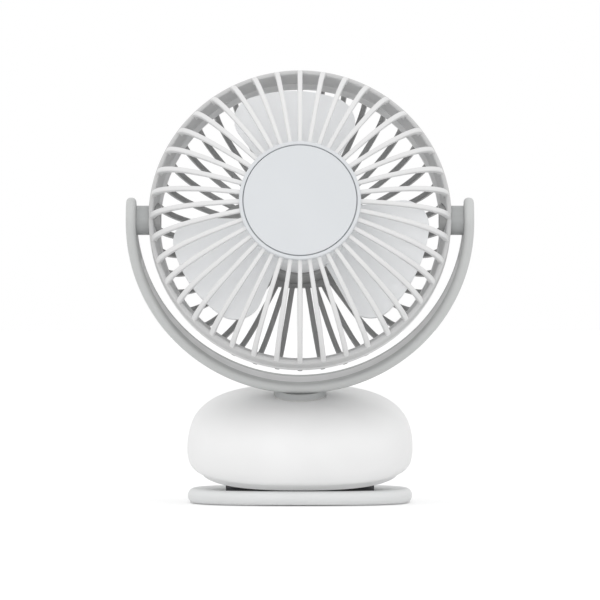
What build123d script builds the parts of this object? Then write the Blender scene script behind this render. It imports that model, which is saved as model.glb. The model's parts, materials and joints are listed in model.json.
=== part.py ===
from build123d import *
import math
import os

# A rechargeable clip-on desk fan. Millimetres, +Z up, X to the fan's side, the front faces -Y.
# The origin is on the floor, under the middle of the flat lower jaw.
# The upper jaw and all it carries are drawn upright in a frame of their own, which leans forward
# when the jaws are closed. The head is drawn lying on its back, with its front towards +Z.

# ---------------------------------------------------------------- stance
LEAN = 13.0               # forward lean of the upper jaw with the jaws closed
UPPER_Y = -1.0            # middle of the upper jaw's rim, in depth
UPPER_Z = 18.2            # middle of the upper jaw's rim, in height
HEAD_TILT = 26.0          # the head faces this much upward in the bow

# ---------------------------------------------------------------- clearances
MOVE_GAP = 0.3            # between pieces that move past each other
RUN_FIT = 0.05            # radial play of a shaft in its bore
THRUST_GAP = 0.1          # axial play of a turning piece
SEAT_GAP = 0.05           # between pieces that are fitted into each other
THREAD_GAP = 0.03         # between a screw and its hole
GUIDE_GAP = 0.15          # play of the push button in its hole

# ---------------------------------------------------------------- lower jaw
PLATE_HALF_W = 48.6
PLATE_HALF_D = 46.0
PLATE_TOP = 6.2           # top of the lower jaw above the floor
PLATE_LIFT = 0.5          # the rubber foot lifts the plastic this much
PLATE_WALL = 1.8
PLATE_ROUND = 3.0         # rounding of the upper edge
PLATE_TAPER = 1.0         # the side draws in this much towards the floor
PLAN_POWER = 2.6          # roundness of the cushion-like outline
COVER_T = 1.4
FOOT_HALF_W = 31.0
FOOT_HALF_D = 37.0
FOOT_RECESS = 0.5         # depth of the foot pad's recess in the cover
PLATE_SCREW_X = 36.5
PLATE_SCREW_Y = 23.0

# ---------------------------------------------------------------- hinge
HINGE_Y = 6.8
HINGE_Z = 11.2
PIN_R = 2.0
PIN_HALF = 25.0
LOWER_EAR_R = 4.9
LOWER_EAR_X = 16.0        # inner face of a lower ear
UPPER_EAR_R = 4.6
EAR_T = 4.2               # thickness of every ear
SPRING_WIRE_R = 0.75
SPRING_COIL_R = 3.3       # radius of the wire's middle
SPRING_TURNS = 6          # the legs take a little more than half a turn of these
SPRING_PITCH = 1.75
SPRING_LEG = 11.0         # reach of each leg behind the hinge
SPRING_WELD = 0.03        # swell of the wire where a leg meets the coil
SPRING_SLOT_W = 2.4       # slot in the upper jaw's base that the upper leg dips into

# ---------------------------------------------------------------- grip pads
PAD_HALF_W = 31.7
PAD_FRONT = -33.0
PAD_BACK = -13.0
PAD_LOWER_T = 1.4
PAD_PROUD = 0.6           # lower pad above the plate
PAD_GROOVES = 4
GROOVE_W = 1.6
GROOVE_DEPTH = 0.5

# ---------------------------------------------------------------- upper jaw
BODY_HALF_W = 48.7
BODY_HALF_D = 46.2
BODY_WAIST = 4.0          # height of the widest place above the rim
BODY_DOME = 25.2          # dome above the widest place
BODY_UNDER = 8.5          # depth of the curve below the widest place
DOME_POWER = 3.0
UNDER_POWER = 2.5
BODY_WALL = 2.2
DOME_FLAT_ANGLE = 80.0    # where the dome is cut off flat for the neck
BASE_T = 2.5
BASE_TAPER = 1.8
BASE_INSET = 0.5
LIP_H = 1.6
LIP_T = 1.4
BOSS_R = 3.2
BODY_FRONT_SCREW = (33.0, -27.0)
BODY_REAR_SCREW = (27.0, 32.5)
BODY_SCREW_LEN = 8.0
SCREW_R = 1.1             # shank of every small screw
SCREW_HEAD_R = 2.0
SCREW_HEAD_T = 0.9

# ---------------------------------------------------------------- inside the upper jaw
CELL_R = 9.2
CELL_LEN = 65.0
CELL_Y = 18.0
CELL_H = 11.5
CELL_NUB_R = 3.0
CELL_NUB_T = 0.8
CRADLE_WALL = 1.2
CRADLE_X = 24.0
CRADLE_W = 6.0
CRADLE_TOP = 9.0
BOARD_HALF_W = 22.0
BOARD_FRONT = 29.5
BOARD_BACK = 41.0
BOARD_H = 4.4             # underside of the board above the rim
BOARD_T = 1.2
BOARD_SCREW_X = 18.5
BOARD_SCREW_Y = 33.0
BOARD_NOTCH_W = 13.4      # notch behind the push button
BOARD_NOTCH_Y = 38.6
POST_R = 2.4
USB_X = 13.0
USB_W = 9.0
USB_H = 3.2
USB_LEN = 7.3
USB_WALL = 0.35
USB_SINK = 1.0            # mouth of the port behind the outer face
BUTTON_R = 4.6
BUTTON_PROUD = 1.0
BUTTON_TRAVEL = 0.6
BUTTON_FLANGE_R = 5.6
BUTTON_FLANGE_T = 1.0
BUTTON_BOSS_R = 7.2
BUTTON_BOSS_FACE = 41.2   # inner face of the boss round the button's hole
SWITCH_SIZE = 6.0
SWITCH_BODY = 3.6
PLUNGER_R = 1.6
PLUNGER_LEN = 1.0
LED_X = -13.5
LED_PITCH = 3.2
LED_COUNT = 4
LED_SIZE = 1.6
WINDOW_W = 13.0
WINDOW_H = 2.4
WINDOW_T = 3.4

# ---------------------------------------------------------------- swivel
NECK_R = 11.35
SHAFT_R = 6.5
SHAFT_BORE_R = 3.2
SHAFT_END = 20.0          # lower end of the swivel shaft above the rim
BUSH_R = 8.6
BUSH_FLANGE_R = 11.0
BUSH_FLANGE_T = 0.6
COLLAR_R = 11.4
COLLAR_END = 22.0         # lower end of the collar that holds the bush
CLIP_R = 8.8
CLIP_T = 0.6
CLIP_GROOVE = 0.9         # depth of the groove in the shaft
NECK_SCREW_X = 7.4

# ---------------------------------------------------------------- bow
BOW_CLEARANCE = 5.2       # between the head and the bow round it
BOW_FOOT_H = 31.9         # lowest point of the bow above the rim
BOW_T = 4.3
BOW_W = 19.5
BOW_ROUND = 1.9
CHANNEL_W = 10.0
CHANNEL_T = 2.7
BOW_COVER_T = 1.1
CHANNEL_END = 14.0        # the channel stops this many degrees below each tip
LEAD_R = 0.6
LEAD_OFFSET = 3.6         # lead beside the neck screws

# ---------------------------------------------------------------- tilt pivots
TRUNNION_R = 6.3
PAD_SETBACK = 1.4         # flat that carries the trunnion, inside the head's side
SPIGOT_R = 4.0
STUB_R = 3.5
TIP_WALL = 1.8            # bow wall that the stub runs in
PIVOT_RECESS_R = 5.7
PIVOT_CAP_T = 1.0
PIVOT_WASHER_R = 5.2
PIVOT_WASHER_T = 0.5
PIVOT_SCREW_R = 1.2
PIVOT_SCREW_HEAD_R = 2.5
PIVOT_SCREW_HEAD_T = 0.7
PIVOT_SCREW_LEN = 8.0
PAD_R = 7.0               # round pad on the head's side under each trunnion
PAD_DEPTH = 4.0

# ---------------------------------------------------------------- head
HEAD_R = 65.0
FRONT_F = 36.0            # front face ahead of the tilt axis
FRONT_FLAT_R = 10.0
FRONT_SHOULDER = 31.0
REAR_F = 38.0             # rear face behind the tilt axis
REAR_FLAT_R = 36.0
REAR_SHOULDER = 30.0
SHELL_T = 2.8
SPLIT_F = -1.0            # joint of the two grilles
RING_FRONT = 7.6
RING_STRAIGHT_F = -4.5    # the ring's side is straight to here
RING_BEVEL = 0.7
RING_LIP = 1.95           # width of the ring at its front edge
RING_FLARE_F = 1.8        # the ring flares from here to its front edge
RING_T = 4.0
RING_SETBACK = 0.15       # ring behind the ribs' outer line
RING_BACK = -8.0
RING_DRAFT = 0.95         # the ring draws in this much to the place where the rear ribs start
THROAT_STEP = 0.95        # the throat stands in from the ring's inner side
THROAT_F = -4.8
THROAT_LEN = 2.4
RING_BACK_T = 3.0         # thickness of the ring at its rear edge
RIB_COUNT = 40
RIB_W = 2.3
HUB_RING_R = 25.8
CAP_R = 23.9
CAP_T = 1.6
CAP_DOME = 0.7
CAP_GROOVE = 0.35
HUB_DISC_T = 2.0
COVER_BOSS_LEN = 5.0
COVER_SCREW_LEN = 6.0
PLATE_OVAL_HALF_W = 41.2
PLATE_OVAL_HALF_H = 21.2
REAR_PLATE_T = 2.4
REAR_COVER_INSET = 2.2
REAR_COVER_T = 2.6
REAR_COVER_ROUND = 1.6
COVER_SCREW_X = 31.0
GRILLE_SCREW_COUNT = 4
GRILLE_SCREW_INSET = 1.5  # axis of the screws inside the ring's rear edge
GRILLE_SCREW_ANGLE = 40.5
GRILLE_SCREW_LEN = 9.0
GRILLE_SCREW_HEAD_R = 1.5

# ---------------------------------------------------------------- motor
MOUNT_R = 24.0
MOUNT_REAR_R = 20.0
MOUNT_F = -3.0            # front rim of the motor mount
MOUNT_WALL = 1.8
MOUNT_FLOOR = -13.0
TUBE_R = 4.6
TUBE_BORE_R = 3.0
TUBE_FRONT = 9.0
TUBE_FLANGE_R = 9.0
TUBE_FLANGE_T = 1.2
BEARING_R = 3.0
BEARING_BORE_R = 1.0
BEARING_T = 2.5
AXLE_R = 1.0
AXLE_BACK = -12.6
REAR_BEARING_F = -11.4
TUBE_NECK_R = 2.3         # narrow middle of the tube's bore, between the bearings
SHAFT_CLIP_R = 2.3
SHAFT_CLIP_T = 0.5
STATOR_BACK = -7.0
STATOR_FRONT = 3.0
STATOR_CORE_R = 8.0
STATOR_SHOE_R = 15.2
STATOR_POLES = 9
POLE_W = 3.2
SHOE_T = 1.6
SHOE_ANGLE = 30.0
WINDING_T = 1.5
WINDING_REACH = 13.0
MOTOR_BOARD_R = 17.5
MOTOR_BOARD_T = 1.0
MOTOR_BOARD_F = -11.0
LEDGE_W = 2.6
MAGNET_R = 17.4
MAGNET_T = 1.7
MAGNET_LEN = 10.0
CUP_T = 0.8
CUP_BACK = -1.8

# ---------------------------------------------------------------- fan wheel
HUB_R = 22.6
HUB_BACK = -2.4
HUB_FRONT = 14.0
HUB_WALL = 1.6
HUB_ROUND = 2.6
BLADE_COUNT = 3
BLADE_TIP_R = 55.5
BLADE_T = 1.6
BLADE_MID_F = 7.0
BLADE_SPAN = 68.0         # angle that a blade covers, seen from the front
BLADE_RISE = 13.0         # height from trailing to leading edge
BLADE_FIRST = 93.0        # direction of the first blade's middle
BLADE_CORNER = 11.0
BLADE_SECTIONS = 7
AXLE_SEAT_R = 3.0
AXLE_FRONT = 13.0

# ---------------------------------------------------------------- frames and small helpers


def upper(shape):
    """Moves a shape from the upper jaw's own upright frame to its place."""
    return Pos(0, UPPER_Y, UPPER_Z) * Rot(LEAN, 0, 0) * shape


def head(shape):
    """Moves a shape from the head's own frame, front towards +Z, to its place."""
    return upper(Pos(0, 0, PIVOT_H) * Rot(90 - HEAD_TILT, 0, 0) * shape)


def to_upper(y, z):
    """Depth and height of a point, given in the upright frame of the upper jaw."""
    lean = math.radians(LEAN)
    dy = y - UPPER_Y
    dz = z - UPPER_Z
    return dy * math.cos(lean) + dz * math.sin(lean), dz * math.cos(lean) - dy * math.sin(lean)


def cushion_outline(half_w, half_d, points=24):
    """Closed cushion-like outline: a superellipse in the XY plane."""
    corners = []
    for i in range(points):
        a = 2 * math.pi * i / points
        c = math.cos(a)
        s = math.sin(a)
        x = half_w * math.copysign(abs(c) ** (2 / PLAN_POWER), c)
        y = half_d * math.copysign(abs(s) ** (2 / PLAN_POWER), s)
        corners.append((x, y))
    return Face(Wire([Edge.make_spline([Vector(x, y, 0) for x, y in corners], periodic=True)]))


def cushion_loft(levels):
    """Solid through cushion outlines; each level is (height, half width, half depth)."""
    return loft([Pos(0, 0, z) * cushion_outline(w, d) for z, w, d in levels])


def cylinder(radius, bottom, top, x=0.0, y=0.0):
    """Upright cylinder between two heights."""
    return Pos(x, y, (bottom + top) / 2) * Cylinder(radius, top - bottom)


def x_cylinder(radius, start, end, y=0.0, z=0.0):
    """Cylinder along X between two places."""
    return Pos((start + end) / 2, y, z) * Rot(0, 90, 0) * Cylinder(radius, end - start)


def y_cylinder(radius, start, end, x=0.0, z=0.0):
    """Cylinder along Y between two places."""
    return Pos(x, (start + end) / 2, z) * Rot(90, 0, 0) * Cylinder(radius, end - start)


def block(x0, x1, y0, y1, z0, z1):
    """Box given by its limits."""
    return Pos((x0 + x1) / 2, (y0 + y1) / 2, (z0 + z1) / 2) * Box(x1 - x0, y1 - y0, z1 - z0)


def ring(outer, inner, bottom, top):
    """Plain ring about the Z axis."""
    return cylinder(outer, bottom, top) - cylinder(inner, bottom - 1, top + 1)


def group(shapes):
    """Separate bodies kept together as one node."""
    return Compound([solid for shape in shapes for solid in shape.solids()])


def both_sides(shape):
    """The shape and its mirror image across the middle plane."""
    return group([shape, mirror(shape, Plane.YZ)])


def turned(*points):
    """Solid of revolution about Z of a closed outline of (radius, height) points."""
    return revolve(make_face(Plane.XZ * Polyline(*points, close=True)), Axis.Z)


def domed_shell(side_r, start, shoulder, face, flat_r, sign):
    """Ribbed half of the head before its slots are cut: straight side, elliptical shoulder, flat face."""
    inner_r = side_r - SHELL_T
    inner_face = face - SHELL_T
    high = face - shoulder
    outer_arc = EllipticalCenterArc((flat_r, high), side_r - flat_r, shoulder, 0, arc_size=90)
    inner_arc = EllipticalCenterArc((flat_r, high), inner_r - flat_r, shoulder - SHELL_T, 0, arc_size=90)
    edges = [
        Line((side_r, start), (side_r, high)),
        outer_arc,
        Line((flat_r, face), (0, face)),
        Line((0, face), (0, inner_face)),
        Line((0, inner_face), (flat_r, inner_face)),
        inner_arc,
        Line((inner_r, high), (inner_r, start)),
        Line((inner_r, start), (side_r, start)),
    ]
    shell = revolve(make_face(Plane.XZ * (Curve() + edges)), Axis.Z)
    if sign < 0:
        shell = mirror(shell, Plane.XY)
    return shell


def ribs_of(shell, inner_r, low, high):
    """The shell's material inside evenly spaced radial ribs."""
    rib = shell & block(inner_r, HEAD_R + 5, -RIB_W / 2, RIB_W / 2, low, high)
    return [Rot(0, 0, 360 * i / RIB_COUNT) * rib for i in range(RIB_COUNT)]


def screw(length, x=0.0, y=0.0, seat=0.0):
    """Pan-head screw pointing up, its head below the seat."""
    shank = cylinder(SCREW_R, seat - SCREW_HEAD_T / 2, seat + length, x, y)
    return shank + cylinder(SCREW_HEAD_R, seat - SCREW_HEAD_T, seat, x, y)


def save(shape, name):
    """Writes one node."""
    export_step(shape, os.path.join("parts", name + ".step"))
    print(name, round(shape.volume, 1))


# ---------------------------------------------------------------- derived places
RIM_FACTOR = math.cos(math.asin((BODY_WAIST / BODY_UNDER) ** (UNDER_POWER / 2))) ** (2 / UNDER_POWER)
BODY_TOP = BODY_WAIST + BODY_DOME * math.sin(math.radians(DOME_FLAT_ANGLE)) ** (2 / DOME_POWER)
NECK_BOTTOM = BODY_TOP + BUSH_FLANGE_T + THRUST_GAP
BUTTON_H = BOARD_H + BOARD_T + SWITCH_SIZE / 2
BOARD_TOP = BOARD_H + BOARD_T
BOW_INNER = HEAD_R + BOW_CLEARANCE
BOW_R = BOW_INNER + BOW_T
PIVOT_H = BOW_FOOT_H + BOW_R
CHANNEL_FLOOR = BOW_INNER + CHANNEL_T
STUB_END = BOW_INNER + TIP_WALL + THRUST_GAP
HINGE_V, HINGE_W = to_upper(HINGE_Y, HINGE_Z)
RING_OUTER = HEAD_R - RING_SETBACK
RING_INNER = RING_OUTER - RING_T
RIM_BACK_R = RING_OUTER - RING_DRAFT
RING_BACK_INNER_R = RIM_BACK_R - RING_BACK_T
THROAT_R = RING_INNER - THROAT_STEP
GRILLE_SCREW_R = RIM_BACK_R - GRILLE_SCREW_INSET
TRUNNION_SEAT = HEAD_R - PAD_SETBACK
PAD_INNER = TRUNNION_SEAT - PAD_DEPTH
HUB_INNER_R = CAP_R + CAP_GROOVE
CAP_SEAT = FRONT_F - CAP_T
BODY_SCREWS = [(s * x, y) for s in (-1, 1) for x, y in (BODY_FRONT_SCREW, BODY_REAR_SCREW)]
PLATE_SCREWS = [(sx * PLATE_SCREW_X, sy * PLATE_SCREW_Y) for sx in (-1, 1) for sy in (-1, 1)]

# ---------------------------------------------------------------- lower jaw


def plate_outer():
    side = cushion_loft([
        (PLATE_LIFT, PLATE_HALF_W - PLATE_TAPER, PLATE_HALF_D - PLATE_TAPER),
        (PLATE_LIFT + 1.2, PLATE_HALF_W - PLATE_TAPER / 4, PLATE_HALF_D - PLATE_TAPER / 4),
        (PLATE_TOP - PLATE_ROUND, PLATE_HALF_W, PLATE_HALF_D),
    ])
    cap = extrude(Pos(0, 0, PLATE_TOP - PLATE_ROUND) * cushion_outline(PLATE_HALF_W, PLATE_HALF_D), PLATE_ROUND)
    cap = fillet(cap.edges().group_by(Axis.Z)[-1], PLATE_ROUND * 0.95)
    return side + cap


def plate_room(inset):
    """Room inside the plate's wall, open below."""
    half_w = PLATE_HALF_W - PLATE_TAPER - inset
    half_d = PLATE_HALF_D - PLATE_TAPER - inset
    return half_w, half_d


def lower_ears(radius, start):
    """Pair of ears round the hinge axis that stand on the plate."""
    ear = x_cylinder(radius, start, start + EAR_T, HINGE_Y, HINGE_Z)
    ear += block(start, start + EAR_T, HINGE_Y - radius, HINGE_Y + radius, PLATE_TOP - 1, HINGE_Z)
    return both_sides(ear)


def plate_shell():
    half_w, half_d = plate_room(PLATE_WALL)
    room = cushion_loft([(PLATE_LIFT - 1, half_w, half_d), (PLATE_TOP - PLATE_WALL, half_w, half_d)])
    shell = plate_outer() - room
    for x, y in PLATE_SCREWS:
        shell += cylinder(BOSS_R, PLATE_LIFT + COVER_T, PLATE_TOP - 1, x, y)
    for x, y in PLATE_SCREWS:
        shell -= cylinder(SCREW_R + THREAD_GAP, PLATE_LIFT, PLATE_TOP - PLATE_WALL, x, y)
    shell += lower_ears(LOWER_EAR_R, LOWER_EAR_X)
    shell -= x_cylinder(PIN_R + THREAD_GAP, -PIN_HALF - 5, PIN_HALF + 5, HINGE_Y, HINGE_Z)
    recess_floor = PLATE_TOP + PAD_PROUD - PAD_LOWER_T
    shell -= block(
        -PAD_HALF_W - SEAT_GAP, PAD_HALF_W + SEAT_GAP,
        PAD_FRONT - SEAT_GAP, PAD_BACK + SEAT_GAP, recess_floor, PLATE_TOP + 1,
    )
    return shell


def plate_cover():
    half_w, half_d = plate_room(PLATE_WALL + SEAT_GAP)
    cover = extrude(Pos(0, 0, PLATE_LIFT) * cushion_outline(half_w, half_d), COVER_T)
    foot = cushion_outline(FOOT_HALF_W + SEAT_GAP, FOOT_HALF_D + SEAT_GAP)
    cover -= extrude(Pos(0, 0, PLATE_LIFT - 1) * foot, 1 + FOOT_RECESS)
    for x, y in PLATE_SCREWS:
        cover -= cylinder(SCREW_R + THREAD_GAP, 0, PLATE_TOP, x, y)
        cover -= cylinder(SCREW_HEAD_R + SEAT_GAP, 0, PLATE_LIFT + SCREW_HEAD_T, x, y)
    return cover


def plate_screws():
    seat = PLATE_LIFT + SCREW_HEAD_T
    length = PLATE_TOP - PLATE_WALL - seat - 0.3
    return group([screw(length, x, y, seat) for x, y in PLATE_SCREWS])


def foot_pad():
    return extrude(cushion_outline(FOOT_HALF_W, FOOT_HALF_D), PLATE_LIFT + FOOT_RECESS)


def pad_grooves(face, sign):
    """Cutting tools for the grooves across a grip pad's face."""
    step = (PAD_BACK - PAD_FRONT) / (PAD_GROOVES + 1)
    tools = []
    for i in range(PAD_GROOVES):
        y = PAD_FRONT + step * (i + 1)
        low = min(face, face - sign * GROOVE_DEPTH)
        tools.append(block(-PAD_HALF_W - 1, PAD_HALF_W + 1, y - GROOVE_W / 2, y + GROOVE_W / 2,
                           low - (sign < 0), low + GROOVE_DEPTH + (sign > 0)))
    return tools


def lower_grip_pad():
    top = PLATE_TOP + PAD_PROUD
    pad = block(-PAD_HALF_W, PAD_HALF_W, PAD_FRONT, PAD_BACK, top - PAD_LOWER_T, top)
    for tool in pad_grooves(top, 1):
        pad -= tool
    return pad


def hinge_pin():
    pin = x_cylinder(PIN_R, -PIN_HALF, PIN_HALF, HINGE_Y, HINGE_Z)
    return chamfer(pin.edges(), 0.4)


def leg_tangent(end_y, end_z, upper_side):
    """Direction from the hinge axis of the coil point where a straight leg leaves for its end."""
    reach = math.degrees(math.acos(SPRING_COIL_R / math.hypot(end_y, end_z)))
    toward = math.degrees(math.atan2(end_z, end_y))
    return toward + reach if upper_side else toward - reach


def wire_piece(start, end):
    """Straight piece of spring wire with round ends."""
    line = Line(start, end)
    piece = sweep(Plane(origin=start, z_dir=line % 0) * Circle(SPRING_WIRE_R), line)
    joint = Pos(*start) * Sphere(SPRING_WIRE_R + SPRING_WELD)
    return piece + joint + Pos(*end) * Sphere(SPRING_WIRE_R)


def spring_ends():
    """Ends of the two legs, from the hinge axis: the lower on the plate, the upper under the base."""
    lower = (SPRING_LEG, PLATE_TOP + SPRING_WIRE_R + SEAT_GAP - HINGE_Z)
    leg_w = -BASE_T - HINGE_W - SPRING_WIRE_R - MOVE_GAP
    lean = math.radians(LEAN)
    upper_y = SPRING_LEG * math.cos(lean) - leg_w * math.sin(lean)
    upper_z = SPRING_LEG * math.sin(lean) + leg_w * math.cos(lean)
    return lower, (upper_y, upper_z)


def spring_coil_length():
    lower, upper_end = spring_ends()
    lower_angle = leg_tangent(*lower, False)
    upper_angle = leg_tangent(*upper_end, True)
    turned_angle = 360 * SPRING_TURNS - (upper_angle - lower_angle)
    return SPRING_PITCH * turned_angle / 360


def torsion_spring():
    lower, upper_end = spring_ends()
    lower_angle = math.radians(leg_tangent(*lower, False))
    upper_angle = math.radians(leg_tangent(*upper_end, True))
    length = spring_coil_length()
    start_x = (-length / 2, math.cos(upper_angle), math.sin(upper_angle))
    coil_plane = Plane(origin=(-length / 2, HINGE_Y, HINGE_Z), x_dir=(0, start_x[1], start_x[2]), z_dir=(1, 0, 0))
    helix = coil_plane.location * Helix(SPRING_PITCH, length, SPRING_COIL_R)
    coil = sweep(Plane(origin=helix @ 0, z_dir=helix % 0) * Circle(SPRING_WIRE_R), helix, is_frenet=True)

    def place(x, y, z):
        return (x, HINGE_Y + y, HINGE_Z + z)

    r = SPRING_COIL_R
    upper_start = place(-length / 2, r * math.cos(upper_angle), r * math.sin(upper_angle))
    lower_start = place(length / 2, r * math.cos(lower_angle), r * math.sin(lower_angle))
    coil += wire_piece(upper_start, place(-length / 2, *upper_end))
    coil += wire_piece(lower_start, place(length / 2, *lower))
    return coil


# ---------------------------------------------------------------- upper jaw


def body_solid(inset):
    """Cushion-shaped body of the upper jaw, drawn in by an inset, in its own upright frame."""
    half_w = BODY_HALF_W - inset
    half_d = BODY_HALF_D - inset
    dome = BODY_DOME - inset
    levels = []
    for part in (1.0, 0.5):
        drop = BODY_WAIST * part
        factor = math.cos(math.asin((drop / BODY_UNDER) ** (UNDER_POWER / 2))) ** (2 / UNDER_POWER)
        levels.append((BODY_WAIST - drop, half_w * factor, half_d * factor))
    steps = 9
    for i in range(steps):
        a = math.radians(DOME_FLAT_ANGLE * i / (steps - 1))
        factor = math.cos(a) ** (2 / DOME_POWER)
        levels.append((BODY_WAIST + dome * math.sin(a) ** (2 / DOME_POWER), half_w * factor, half_d * factor))
    return cushion_loft(levels)


def window_block(gap):
    """Plug of the light window, through the rear wall."""
    mid = BOARD_TOP + LED_SIZE / 2
    return block(LED_X - WINDOW_W / 2 - gap, LED_X + WINDOW_W / 2 + gap, BODY_HALF_D - 2 - WINDOW_T + 1,
                 BODY_HALF_D + 2, mid - WINDOW_H / 2 - gap, mid + WINDOW_H / 2 + gap)


def body_shell():
    outer = body_solid(0)
    inner = body_solid(BODY_WALL)
    shell = outer - inner
    filling = body_solid(1.0)
    for x, y in BODY_SCREWS:
        shell += cylinder(BOSS_R, 0, BODY_TOP, x, y) & filling
    shell += cylinder(COLLAR_R, COLLAR_END, BODY_TOP - 0.8)
    shell += y_cylinder(BUTTON_BOSS_R, BUTTON_BOSS_FACE, BODY_HALF_D, 0, BUTTON_H) & filling
    for x, y in BODY_SCREWS:
        shell -= cylinder(SCREW_R + THREAD_GAP, -1, BODY_SCREW_LEN - BASE_T + SCREW_HEAD_T + 0.3, x, y)
    shell -= cylinder(BUSH_R + SEAT_GAP, COLLAR_END - 1, BODY_TOP + 1)
    shell -= y_cylinder(BUTTON_R + GUIDE_GAP, BUTTON_BOSS_FACE - 1, BODY_HALF_D + 5, 0, BUTTON_H)
    shell -= block(USB_X - USB_W / 2 - GUIDE_GAP, USB_X + USB_W / 2 + GUIDE_GAP, BOARD_BACK - 2,
                   BODY_HALF_D + 5, BOARD_TOP - GUIDE_GAP, BOARD_TOP + USB_H + GUIDE_GAP)
    shell -= window_block(SEAT_GAP)
    return upper(shell)


def base_outline(level):
    """Half width and half depth of the base at a height between its underside (0) and its top (1)."""
    draw_in = BASE_INSET + BASE_TAPER * (1 - level)
    return BODY_HALF_W * RIM_FACTOR - draw_in, BODY_HALF_D * RIM_FACTOR - draw_in


def body_base():
    base = cushion_loft([(-BASE_T, *base_outline(0)), (0, *base_outline(1))])
    lip_w = (BODY_HALF_W - BODY_WALL) * RIM_FACTOR - 2 * SEAT_GAP
    lip_d = (BODY_HALF_D - BODY_WALL) * RIM_FACTOR - 2 * SEAT_GAP
    lip = extrude(Pos(0, 0, -0.5) * cushion_outline(lip_w, lip_d), LIP_H + 0.5)
    lip -= extrude(Pos(0, 0, 0) * cushion_outline(lip_w - LIP_T, lip_d - LIP_T), LIP_H + 1)
    for x, y in BODY_SCREWS:
        lip -= cylinder(BOSS_R + MOVE_GAP, 0, LIP_H + 1, x, y)
    base += lip
    start = LOWER_EAR_X + EAR_T + MOVE_GAP
    ear = x_cylinder(UPPER_EAR_R, start, start + EAR_T, HINGE_V, HINGE_W)
    ear += block(start, start + EAR_T, HINGE_V - UPPER_EAR_R, HINGE_V + UPPER_EAR_R, HINGE_W, -BASE_T + 1)
    base += both_sides(ear)
    base -= x_cylinder(PIN_R + RUN_FIT, -PIN_HALF - 5, PIN_HALF + 5, HINGE_V, HINGE_W)
    for side in (-1, 1):
        base += cylinder(POST_R, -0.5, BOARD_H, side * BOARD_SCREW_X, BOARD_SCREW_Y)
    for side in (-1, 1):
        base -= cylinder(SCREW_R + THREAD_GAP, 0, BOARD_H + 1, side * BOARD_SCREW_X, BOARD_SCREW_Y)
    for x, y in BODY_SCREWS:
        base -= cylinder(SCREW_R + THREAD_GAP, -BASE_T - 1, 1, x, y)
        base -= cylinder(SCREW_HEAD_R + SEAT_GAP, -BASE_T - 1, -BASE_T + SCREW_HEAD_T, x, y)
    slot_x = -spring_coil_length() / 2
    base -= block(slot_x - SPRING_SLOT_W / 2, slot_x + SPRING_SLOT_W / 2, HINGE_V - 1,
                  HINGE_V + SPRING_LEG + 3, -BASE_T - 1, 1)
    return upper(base)


def body_screws():
    seat = SCREW_HEAD_T - BASE_T
    return upper(group([screw(BODY_SCREW_LEN, x, y, seat) for x, y in BODY_SCREWS]))


def upper_grip_pad():
    face = PLATE_TOP + PAD_PROUD + MOVE_GAP
    pad = block(-PAD_HALF_W, PAD_HALF_W, PAD_FRONT, PAD_BACK, face, UPPER_Z)
    pad &= upper(block(-BODY_HALF_W, BODY_HALF_W, -BODY_HALF_D, BODY_HALF_D, -BODY_TOP, -BASE_T))
    for tool in pad_grooves(face, -1):
        pad -= tool
    return pad


def battery_cell():
    half = CELL_LEN / 2
    cell = x_cylinder(CELL_R, -half, half, CELL_Y, CELL_H)
    cell = fillet(cell.edges().filter_by(GeomType.CIRCLE), 0.8)
    return upper(cell + x_cylinder(CELL_NUB_R, half - 1, half + CELL_NUB_T, CELL_Y, CELL_H))


def battery_cradle():
    reach = CELL_R + CRADLE_WALL
    saddles = []
    for side in (-1, 1):
        saddles.append(block(side * CRADLE_X - CRADLE_W / 2, side * CRADLE_X + CRADLE_W / 2,
                             CELL_Y - reach, CELL_Y + reach, 0, CRADLE_TOP))
    floor = block(-CRADLE_X, CRADLE_X, CELL_Y + 2, CELL_Y + CELL_R - 3, 0, CRADLE_WALL)
    cradle = saddles[0] + saddles[1] + floor
    cradle -= x_cylinder(CELL_R + SEAT_GAP, -CELL_LEN / 2, CELL_LEN / 2, CELL_Y, CELL_H)
    return upper(cradle)


def main_board():
    board = block(-BOARD_HALF_W, BOARD_HALF_W, BOARD_FRONT, BOARD_BACK, BOARD_H, BOARD_TOP)
    board -= block(-BOARD_NOTCH_W / 2, BOARD_NOTCH_W / 2, BOARD_NOTCH_Y, BOARD_BACK + 1, 0, BOARD_TOP + 1)
    for side in (-1, 1):
        board -= cylinder(SCREW_R + THREAD_GAP, 0, BOARD_TOP + 1, side * BOARD_SCREW_X, BOARD_SCREW_Y)
    return upper(board)


def board_screws():
    length = BOARD_H - 0.5
    one = Rot(180, 0, 0) * screw(length + BOARD_T)
    return upper(group([Pos(s * BOARD_SCREW_X, BOARD_SCREW_Y, BOARD_TOP) * one for s in (-1, 1)]))


def usb_port():
    mouth = BODY_HALF_D - 0.7 - USB_SINK
    port = block(-USB_W / 2, USB_W / 2, mouth - USB_LEN, mouth, 0, USB_H)
    port = fillet(port.edges().filter_by(Axis.Y), USB_H * 0.42)
    hollow = block(-USB_W / 2 + USB_WALL, USB_W / 2 - USB_WALL, mouth - USB_LEN + 1, mouth + 1,
                   USB_WALL, USB_H - USB_WALL)
    hollow = fillet(hollow.edges().filter_by(Axis.Y), (USB_H - 2 * USB_WALL) * 0.42)
    tongue = block(-USB_W / 2 + 1.2, USB_W / 2 - 1.2, mouth - USB_LEN + 0.5, mouth - 1,
                   USB_H / 2 - 0.35, USB_H / 2 + 0.35)
    return upper(Pos(USB_X, 0, BOARD_TOP) * (port - hollow + tongue))


def plunger_end():
    """Depth of the switch plunger's end: clear of the button even when it is pushed home."""
    return BUTTON_BOSS_FACE - THRUST_GAP - BUTTON_FLANGE_T - BUTTON_TRAVEL - MOVE_GAP


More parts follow.
